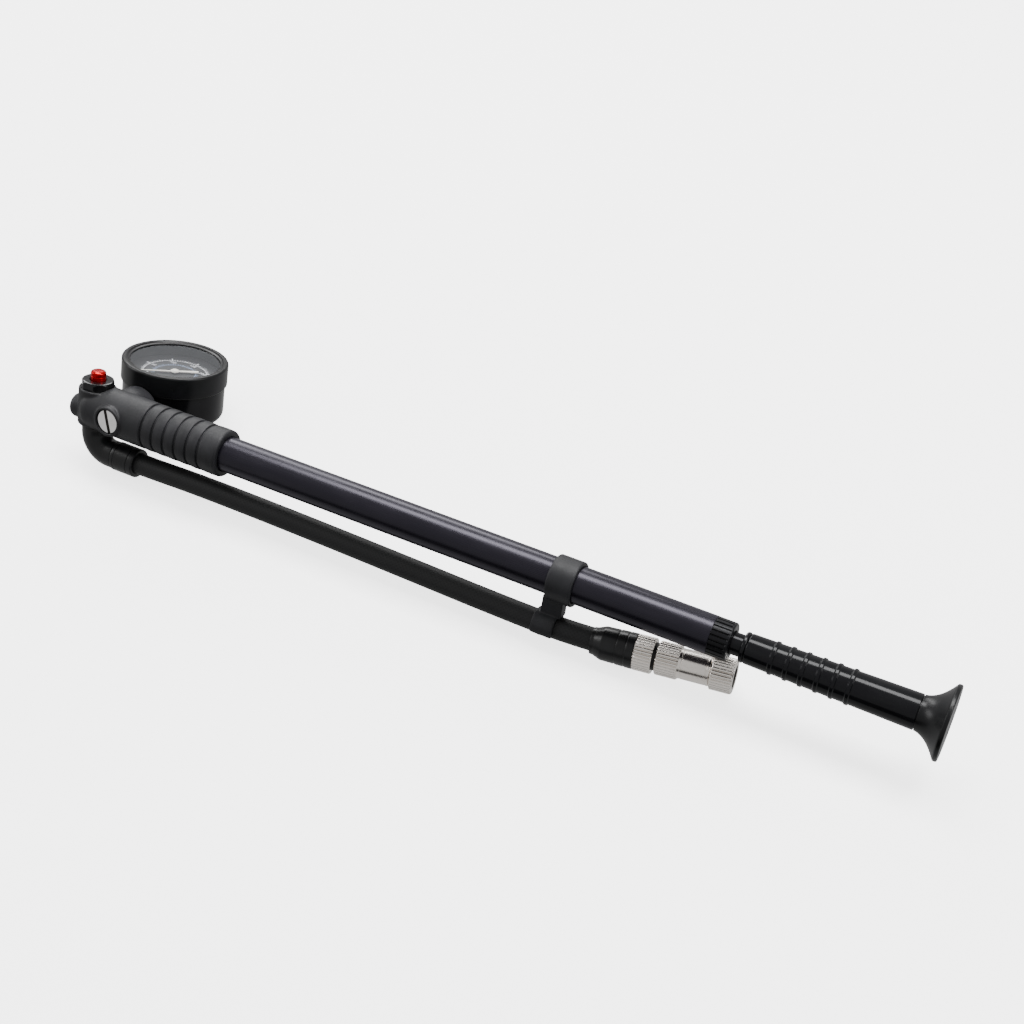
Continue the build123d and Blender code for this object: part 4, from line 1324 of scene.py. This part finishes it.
@dataclass
class Hose:
    """The elbow under the head, the ferrule, the hose and the clip that holds it to the barrel."""

    elbow_radius: float = 5.6
    elbow_level: float = -18.2
    bend: float = 8.0
    neck_top: float = -3.6
    elbow_top: float = -7.9
    ferrule_start: float = 11.2
    ferrule_end: float = 22.0
    hose_radius: float = 4.3
    straight: float = 4.0
    in_chuck: float = 20.0
    clip_start: float = 202.2
    clip_end: float = 212.2
    clip_radius: float = 8.45
    hook_start: float = 198.8
    hook_half: float = 4.3
    hook_inner: float = 4.47
    hook_outer: float = 5.6
    lip: float = 2.2
    web_start: float = 200.4
    web_end: float = 208.4
    web_half: float = 2.5

    def elbow(self) -> bpy.types.Object:
        """The elbow: a line down, a quarter circle and a level line, with a radius for each place.

        Returns:
            The elbow.
        """
        down = np.array([[0.0, 0.0, z] for z in (self.neck_top, -7.88, self.elbow_top, -8.05, -8.4, -9.4)])
        turn = np.linspace(0.0, math.pi / 2, 25)[:, None]
        centre = np.array([self.bend, 0.0, self.elbow_level + self.bend])
        arc = centre - self.bend * np.concatenate([np.cos(turn), 0 * turn, np.sin(turn)], axis=1)
        level = np.array([[x, 0.0, self.elbow_level] for x in (10.6, 10.9, 11.15, self.ferrule_start)])
        radii = np.concatenate([
            [4.0, 4.0, 5.15, 5.45, 5.58, self.elbow_radius], np.full(25, self.elbow_radius),
            [5.6, 5.58, 5.4, 5.2],
        ])
        return swept("elbow", np.concatenate([down, arc, level]), radii, 72)

    def route(self) -> Array:
        """The hose's middle line: a smooth NURBS spline over the points it is laid along.

        Returns:
            (n, 3) own points.
        """
        along = np.array(CHUCK.along)
        start = np.array(CHUCK.start)
        corners = np.array([
            [14.5, 0.0, self.elbow_level], [27.0, 0.0, self.elbow_level], [50.0, 0.0, -17.4],
            [92.0, 0.0, -17.6], [140.0, 0.0, -18.5], [186.0, 0.0, -19.6],
            start - along * self.straight, start + along * self.in_chuck,
        ])
        curve = bpy.data.curves.new("route", "CURVE")
        curve.dimensions = "3D"
        spline = curve.splines.new("NURBS")
        spline.points.add(len(corners) - 1)
        flat = np.concatenate([corners, np.ones((len(corners), 1))], axis=1)
        spline.points.foreach_set("co", flat.ravel())
        spline.order_u = 3
        spline.use_endpoint_u = True
        spline.resolution_u = 48
        line = bpy.data.objects.new("route", curve)
        bpy.context.scene.collection.objects.link(line)
        bpy.context.view_layer.update()
        mesh = bpy.data.meshes.new_from_object(line.evaluated_get(bpy.context.evaluated_depsgraph_get()))
        points = np.empty(len(mesh.vertices) * 3, np.float32)
        mesh.vertices.foreach_get("co", points)
        bpy.data.objects.remove(line)
        return points.reshape(-1, 3).astype(float)

    def clip(self) -> bpy.types.Object:
        """The rubber clip: a ring on the barrel, a web, and a hook open below round the hose.

        The hook is a thin wall turned from one lip over the top to the other, and each lip stands
        2.2 below the hose's middle.

        Returns:
            The clip.
        """
        ring = turned("ring", BARREL, [
            Corner(self.clip_start, 7.0, 0.2), Corner(self.clip_start, self.clip_radius, 0.7),
            Corner(self.clip_end, self.clip_radius, 0.7), Corner(self.clip_end, 7.0, 0.2),
        ], 96, ring=True)
        low = np.array([186.0, 0.0, -19.6])
        high = np.array(CHUCK.start) - np.array(CHUCK.along) * self.straight
        share = (self.hook_start + self.hook_half - low[0]) / (high[0] - low[0])
        centre = low + (high - low) * share
        hook = Spindle(tuple(centre), tuple(high - low), (0.0, 0.0, 1.0))
        wrap = math.pi / 2 + math.asin(self.lip / 5.05)
        profile = rounded([
            Corner(-self.hook_half, self.hook_inner, 0.2), Corner(-self.hook_half, self.hook_outer, 0.4),
            Corner(self.hook_half, self.hook_outer, 0.4), Corner(self.hook_half, self.hook_inner, 0.2),
        ], closed=True)
        angle = np.linspace(-wrap, wrap, 73)[:, None]
        grid = hook.place(profile[None, :, 0], profile[None, :, 1], angle)
        caps = np.repeat(grid.mean(axis=1, keepdims=True), grid.shape[1], axis=1)
        hooked = skin("hook", np.concatenate([caps[:1], grid, caps[-1:]]), False, True)
        inner = float(centre[2]) + 4.7
        web = block("web", (self.web_start, -self.web_half, inner), (self.web_end, self.web_half, -7.25))
        clip = melted("clip", [ring, hooked, web], 0.24, 4)
        clip.data.shade_smooth()
        return clip

    def build(self) -> None:
        """Make the pieces of the hose's line."""
        fit(self.elbow(), "hose_elbow", SLEEVE)
        level = Spindle((0.0, 0.0, self.elbow_level), (1.0, 0.0, 0.0), (0.0, 1.0, 0.0))
        end = self.ferrule_end
        ferrule = turned("ferrule", level, [
            Corner(self.ferrule_start, self.hose_radius), Corner(self.ferrule_start, 5.85, 0.35),
            Corner(12.6, 5.85), Corner(12.75, 5.7), Corner(13.0, 5.7), Corner(13.15, 5.85),
            Corner(end - 3.1, 5.85), Corner(end - 2.95, 5.62), Corner(end - 2.5, 5.62),
            Corner(end - 2.3, 5.85, 0.1),
            Corner(end, 5.85, 1.0), Corner(end, self.hose_radius, 0.15),
        ], 96, ring=True)
        fit(ferrule, "hose_ferrule", SLEEVE)
        route = self.route()
        fit(swept("hose", route, np.full(len(route), self.hose_radius), 56), "hose", HOSE)
        fit(self.clip(), "hose_clip", RUBBER)


@dataclass
class Chuck:
    """The chuck on the hose's end: rubber sleeve, knurled coupling, turning body and nut."""

    sleeve: float = 16.0
    coupling: float = 22.8
    collar_from: float = 24.1
    stem_from: float = 32.1
    stem_to: float = 43.5
    nut_from: float = 43.8
    nut_to: float = 51.8
    nose_to: float = 46.1
    thread_radius: float = 3.85
    thread_pitch: float = 0.794
    knurl: float = 0.42

    def sleeve_piece(self) -> bpy.types.Object:
        """The rubber sleeve: a short lip, a sloping shoulder and two rings pressed into it."""
        return turned("sleeve", CHUCK, [
            Corner(0.0, 4.45, 0.1), Corner(0.0, 4.9, 0.3), Corner(1.2, 5.0, 0.3), Corner(1.7, 5.2),
            Corner(4.2, 6.18, 1.6), Corner(9.0, 6.3), Corner(9.25, 6.12), Corner(9.6, 6.12),
            Corner(9.85, 6.34),
            Corner(12.6, 6.42, 0.1), Corner(12.8, 6.28), Corner(13.1, 6.28), Corner(13.3, 6.44, 0.1),
            Corner(16.0, 6.48, 0.35), Corner(16.0, 4.45, 0.1),
        ], 128, ring=True)

    def knurled(self, name: str, start: float, end: float, radius: float, bore: float) -> bpy.types.Object:
        """A knurled ring with blunt ends."""
        return turned(name, CHUCK, [
            Corner(start, bore), Corner(start, radius - 0.35), Corner(start + 0.3, radius, 0.1),
            Corner(end - 0.3, radius, 0.1), Corner(end, radius - 0.35), Corner(end, bore),
        ], 400, ring=True, dense=0.6, soften=False, flutes=[
            Fluting(round(TURN * radius / 1.32), self.knurl, start + 0.05, end - 0.05, 0.25),
        ])

    def body(self) -> bpy.types.Object:
        """The body that turns on the coupling: its knurled collar and its plain stem in one piece."""
        collar = self.knurled("collar", self.collar_from, self.stem_from, 6.15, 3.05)
        stem = turned("stem", CHUCK, [
            Corner(self.stem_from - 0.5, 3.05), Corner(self.stem_from - 0.5, 5.45),
            Corner(self.stem_from + 0.9, 5.45), Corner(self.stem_from + 1.0, 5.36),
            Corner(self.stem_from + 1.3, 5.36),
            Corner(self.stem_from + 1.4, 5.46, 0.1), Corner(self.stem_to - 1.6, 5.48, 0.1),
            Corner(self.stem_to - 1.5, 5.38), Corner(self.stem_to - 1.2, 5.38),
            Corner(self.stem_to - 1.1, 5.5, 0.1),
            Corner(self.stem_to, 5.5, 0.5), Corner(self.stem_to, 4.6), Corner(self.nose_to, 4.6, 0.1),
            Corner(self.nose_to, 3.6), Corner(self.nose_to - 1.0, 3.6), Corner(self.nose_to - 1.0, 1.0),
            Corner(self.coupling + 8.2, 1.0), Corner(self.coupling + 8.2, 3.05),
        ], 160, ring=True)
        return joined("chuck_body_piece", [collar, stem])

    def nut(self) -> bpy.types.Object:
        """The nut: knurled outside, with a threaded bore.

        The bore's radius is thread_radius + 0.28 * |2 * frac(V / pitch - angle / turn) - 1| inside the
        threaded length.

        Returns:
            The nut.
        """
        outer, mouth = 6.35, 4.45
        profile = refined(rounded([
            Corner(self.nut_from, 4.7), Corner(self.nut_from, outer - 0.35),
            Corner(self.nut_from + 0.3, outer, 0.1),
            Corner(self.nut_to - 0.55, outer, 0.15), Corner(self.nut_to, outer - 0.5, 0.2),
            Corner(self.nut_to, mouth, 0.1), Corner(self.nut_to - 0.5, self.thread_radius),
            Corner(self.nose_to + 0.12, self.thread_radius), Corner(self.nose_to + 0.1, 4.7),
        ], closed=True), 0.2, True)
        distance, radius = profile[:, :1], profile[:, 1:]
        angle = np.linspace(0.0, TURN, 400, endpoint=False)[None, :]
        knurls = Fluting(30, self.knurl, self.nut_from + 0.05, self.nut_to - 0.35, 0.25)
        phase = (distance / self.thread_pitch - angle / TURN) % 1.0
        thread = 0.28 * np.abs(2 * phase - 1) * (np.abs(radius - self.thread_radius) < 1e-6)
        outside = radius > 5.6
        radius = radius - knurls.cut(distance, angle) * outside + thread
        nut = skin("chuck_nut_piece", CHUCK.place(distance, radius, angle), True, True, sharp=50.0)
        PAINT.dress(nut, NICKEL)
        # The threaded bore takes the near-black metal: tarnished brass, darkened further as painted shade.
        PAINT.dress_near(nut, TARNISH_AND_SHADE, CHUCK, 4.35)
        return nut

    def build(self) -> None:
        """Make the chuck's pieces."""
        fit(self.sleeve_piece(), "hose_sleeve", SLEEVE)
        fit(self.knurled("coupling", self.sleeve, self.coupling, 6.5, 4.3), "hose_coupling", NICKEL)
        fit(self.body(), "chuck_body", NICKEL)
        fit(self.nut(), "chuck_nut", NICKEL)


@dataclass
class Handle:
    """The rod, its ring, the ribbed grip and the trumpet cap, which slide with the piston."""

    rod_start: float = 40.3
    rod_step: float = 51.9
    journal: float = 2.5
    rod_radius: float = 4.0
    ring_start: float = 273.6
    grip_start: float = 275.3
    grip_end: float = 334.7
    cap_end: float = 345.0
    small: float = 5.4
    large: float = 6.3
    rib_first: float = 9.5
    rib_pitch: float = 5.4
    ribs: int = 6
    rim: float = 13.3

    def grip(self) -> bpy.types.Object:
        """The grip: a slim cone with a narrow ring for each rib and a dark seam at its end.

        Returns:
            The grip.
        """
        slope = (self.large - self.small) / (self.grip_end - self.grip_start)
        corners = [Corner(self.grip_start, 4.0), Corner(self.grip_start, self.small, 0.6)]
        for rib in range(self.ribs):
            at = self.rib_first + rib * self.rib_pitch
            skin_radius = self.small + slope * at
            middle = self.grip_start + at
            corners += [
                Corner(middle - 0.85, skin_radius, 0.25), Corner(middle - 0.5, skin_radius + 0.42, 0.3),
                Corner(middle + 0.5, skin_radius + 0.42, 0.3), Corner(middle + 0.85, skin_radius, 0.25),
            ]
        corners += [
            Corner(self.grip_end - 0.12, self.large, 0.3), Corner(self.grip_end - 0.12, 5.6),
            Corner(self.grip_end, 5.6),
            Corner(self.grip_end, 4.6),
            Corner(self.grip_start + 18.0, 4.6), Corner(self.grip_start + 18.0, 4.0),
        ]
        return turned("grip", BARREL, corners, 160, ring=True)

    def cap(self) -> bpy.types.Object:
        """The trumpet cap: a curve that flares to a thin rounded rim with a flat palm face.

        The flare's radius is neck + (rim - 0.35 - neck) * (0.16 * t + 0.84 * t ** 2.1), t being the share
        of the way from the grip to the lip.

        Returns:
            The cap.
        """
        neck, lip = 6.2, self.cap_end - 1.7
        share = np.linspace(0.0, 1.0, 40)
        flare = np.stack([
            self.grip_end + 0.12 + (lip - self.grip_end - 0.12) * share,
            neck + (self.rim - 0.35 - neck) * (0.16 * share + 0.84 * share**2.1),
        ], axis=-1)
        edge = rounded([
            Corner(*flare[-1]), Corner(lip + 0.35, self.rim, 0.3), Corner(self.cap_end, self.rim, 0.6),
            Corner(self.cap_end, self.rim - 1.6, 0.3), Corner(self.cap_end - 0.12, self.rim - 2.2, 0.3),
            Corner(self.cap_end - 0.12, 0),
        ], closed=False)
        start = rounded([
            Corner(self.grip_end - 8.0, 0), Corner(self.grip_end - 8.0, 4.55),
            Corner(self.grip_end + 0.01, 4.55),
            Corner(self.grip_end + 0.01, 5.6), Corner(self.grip_end + 0.12, 5.6), Corner(*flare[0], 0.15),
            Corner(*flare[3]),
        ], closed=False)
        profile = np.concatenate([start[:-1], flare[1:-1], edge])
        angle = np.linspace(0.0, TURN, 176, endpoint=False)[None, :]
        cap = skin("cap", BARREL.place(profile[:, :1], profile[:, 1:], angle), False, True)
        cap.modifiers.new("normals", "WEIGHTED_NORMAL").keep_sharp = True
        return cap

    def build(self) -> None:
        """Make the handle's pieces."""
        rod = turned("rod_piece", BARREL, [
            Corner(self.rod_start, 0), Corner(self.rod_start, self.journal),
            Corner(self.rod_step, self.journal),
            Corner(self.rod_step, self.rod_radius),
            Corner(self.grip_start + 18.0, self.rod_radius, 0.2), Corner(self.grip_start + 18.0, 0),
        ], 96)
        fit(rod, "rod", ROD)
        ring = turned("ring", BARREL, [
            Corner(self.ring_start, 4.02), Corner(self.ring_start, 5.5, 0.8),
            Corner(self.grip_start - 0.05, 5.5, 0.8), Corner(self.grip_start - 0.05, 4.02),
        ], 128, ring=True)
        fit(ring, "handle_ring", HANDLE)
        fit(self.grip(), "handle_grip", HANDLE)
        fit(self.cap(), "handle_cap", SATIN)


@dataclass(frozen=True)
class Spring:
    """A coil spring: a steel copy of the imported coil, which keeps its shape.

    along points from the fixed end to the moving one, in the pump's frame; travel, in millimetres, is not used.
    """

    node: str
    joint: str
    along: Point
    travel: float

    def build(self) -> None:
        """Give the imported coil's shape to a steel piece that rides on the coil's body."""
        reach = OWN.own(node_points(self.node)) @ np.array(self.along)
        coil = bpy.data.objects.new(self.node + "_coil", frame["nodes"][self.node].data.copy())
        bpy.context.scene.collection.objects.link(coil)
        fit(coil, self.node, STEEL)
        tuple(OWN.direction(self.along))
        tuple(OWN.metres(np.array(self.along) * reach.min()))
        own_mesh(coil)


INNER = {
    "head_metal": ALLOY, "seal_rubber": SEAL, "valve_brass": BRASS, "spring_steel": STEEL,
    "nut_black": SATIN, "gauge_black": SATIN, "bush_plastic": BUSH, "chuck_nickel": STEEL,
}


def dress_inner() -> None:
    """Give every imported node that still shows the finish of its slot."""
    for node, thing in frame["nodes"].items():
        if not thing.hide_render:
            PAINT.dress(thing, INNER[SLOT_OF[node]])
            log.info("%s keeps its shape in %s", node, INNER[SLOT_OF[node]].name)


# ---- Light, floor and camera -------------------------------------------------------------------


@dataclass(frozen=True)
class Lamp:
    """A soft box: where it stands, what it faces, its size in metres and its power."""

    name: str
    place: Point
    target: Point
    size: tuple[float, float]
    power: float

    def build(self) -> None:
        """Hang the lamp."""
        light = bpy.data.lights.new(self.name, "AREA")
        light.shape = "RECTANGLE"
        light.size, light.size_y = self.size
        light.energy = self.power
        thing = bpy.data.objects.new(self.name, light)
        thing.visible_camera = False
        away = np.array(self.place) - np.array(self.target)
        thing.matrix_world = facing(np.array(self.place), away, np.array([0.0, 0.0, 1.0]))
        bpy.context.scene.collection.objects.link(thing)


def facing(place: Array, away: Array, up: Array) -> Matrix:
    """A 4x4 matrix at place whose Z points away and whose Y leans to up.

    Args:
        place: metres.
        away: any length.
        up: any length.

    Returns:
        The matrix.
    """
    back = away / np.linalg.norm(away)
    right = np.cross(up, back)
    right /= np.linalg.norm(right)
    turn = np.eye(4)
    turn[:3, :3] = np.stack([right, np.cross(back, right), back], axis=1)
    turn[:3, 3] = place
    return Matrix(turn.tolist())


@dataclass(frozen=True)
class Viewpoint:
    """The camera, in the pump's frame: its place in millimetres, its view, its up and its lens."""

    place: Point = (363.26, -454.78, 257.75)
    view: Point = (-0.3320306, 0.83466429, -0.43942145)
    up: Point = (-0.32074833, 0.33818619, 0.88473194)
    lens: float = 54.34

    def build(self) -> None:
        """Set the scene's camera."""
        data = bpy.data.cameras.new("camera")
        data.lens = self.lens
        data.sensor_width = 36.0
        data.clip_start = 0.01
        thing = bpy.data.objects.new("camera", data)
        thing.matrix_world = facing(
            OWN.metres(np.array(self.place)), -OWN.direction(self.view), OWN.direction(self.up)
        )
        bpy.context.scene.collection.objects.link(thing)
        bpy.context.scene.camera = thing


@dataclass(frozen=True)
class Studio:
    """A plain pale floor under soft light from every side."""

    floor_half: float = 14.0
    floor_colour: Colour = (0.86, 0.86, 0.86)
    floor_glow: float = 2.6
    sky: float = 0.62
    card_near: float = -0.1
    card_far: float = -0.9
    card_left: float = -0.17
    card_right: float = 0.8
    lamps: tuple[Lamp, ...] = field(default=(
        Lamp("top_box", (0.0, 0.4, 1.3), (0.0, 0.0, 0.0), (1.6, 0.5), 40.0),
        Lamp("left_box", (-1.3, -0.3, 0.7), (0.0, 0.0, 0.0), (0.5, 0.9), 8.0),
        Lamp("right_box", (1.3, 0.2, 0.8), (0.0, 0.0, 0.0), (0.5, 0.9), 8.0),
        Lamp("back_box", (-0.95, 1.2, 0.75), (-0.15, 0.0, 0.0), (1.2, 0.5), 16.0),
    ))

    def build(self) -> None:
        """Lay the floor, hang the lamps and light the sky."""
        half = self.floor_half
        mesh = bpy.data.meshes.new("floor")
        square = [(-half, -half, 0), (half, -half, 0), (half, half, 0), (-half, half, 0)]
        mesh.from_pydata(square, [], [(0, 1, 2, 3)])
        floor = bpy.data.objects.new("floor", mesh)
        bpy.context.scene.collection.objects.link(floor)
        sheet = Sheet("floor_paper")
        place = sheet.node("ShaderNodeTexCoord", {}, {}, "Object")
        grain = sheet.cloud(place, 900.0, 3.0)
        sheet.shade(
            sheet.blend(grain * 0.03, rgba(self.floor_colour), (0.8, 0.8, 0.8, 1.0)), 0.9,
            sheet.bump(grain, 0.03, 0.2),
            {
                "Specular IOR Level": 0.0, "Emission Color": (1.0, 1.0, 1.0, 1.0),
                "Emission Strength": self.floor_glow,
            },
        )
        mesh.materials.append(sheet.material)
        floor.visible_diffuse = False
        floor.visible_glossy = False
        self.card()
        world = bpy.data.worlds.new("studio")
        world.use_nodes = True
        back = world.node_tree.nodes["Background"]
        back.inputs["Color"].default_value = (1.0, 1.0, 1.0, 1.0)
        back.inputs["Strength"].default_value = self.sky
        bpy.context.scene.world = world
        for lamp in self.lamps:
            lamp.build()

    def card(self) -> None:
        """Lay a dark card in front of the pump, which only shows in what its metal mirrors."""
        mesh = bpy.data.meshes.new("card")
        left, right, near, far = self.card_left, self.card_right, self.card_near, self.card_far
        corners_at = [(left, far, -0.02), (right, far, -0.02), (right, near, -0.02), (left, near, -0.02)]
        mesh.from_pydata(corners_at, [], [(0, 1, 2, 3)])
        card = bpy.data.objects.new("card", mesh)
        bpy.context.scene.collection.objects.link(card)
        sheet = Sheet("card_black")
        sheet.shade((0.01, 0.01, 0.01, 1.0), 0.9, None, {"Specular IOR Level": 0.0})
        mesh.materials.append(sheet.material)
        card.visible_camera = False
        card.visible_diffuse = False
        card.visible_shadow = False


def corners(bounds: Sequence) -> list[list[float]]:
    """Bounds as plain lists of numbers."""
    return [[float(number) for number in corner] for corner in bounds]


def main() -> None:
    """Build the camera, the studio and each sub-assembly."""
    logging.basicConfig(level=logging.INFO, format="%(name)s: %(message)s")
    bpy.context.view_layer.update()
    Viewpoint().build()
    Studio().build()
    springs = (
        Spring("bleed_spring", "bleed_press", (0.0, 0.0, 1.0), 2.0),
        Spring("valve_spring", "valve_lift", (1.0, 0.0, 0.0), 0.8),
    )
    for assembly in (Barrel(), Head(), Gauge(), Hose(), Chuck(), Handle(), *springs):
        log.info("building the %s", type(assembly).__name__.lower())
        assembly.build()
    dress_inner()


if __name__ == "__main__":
    main()
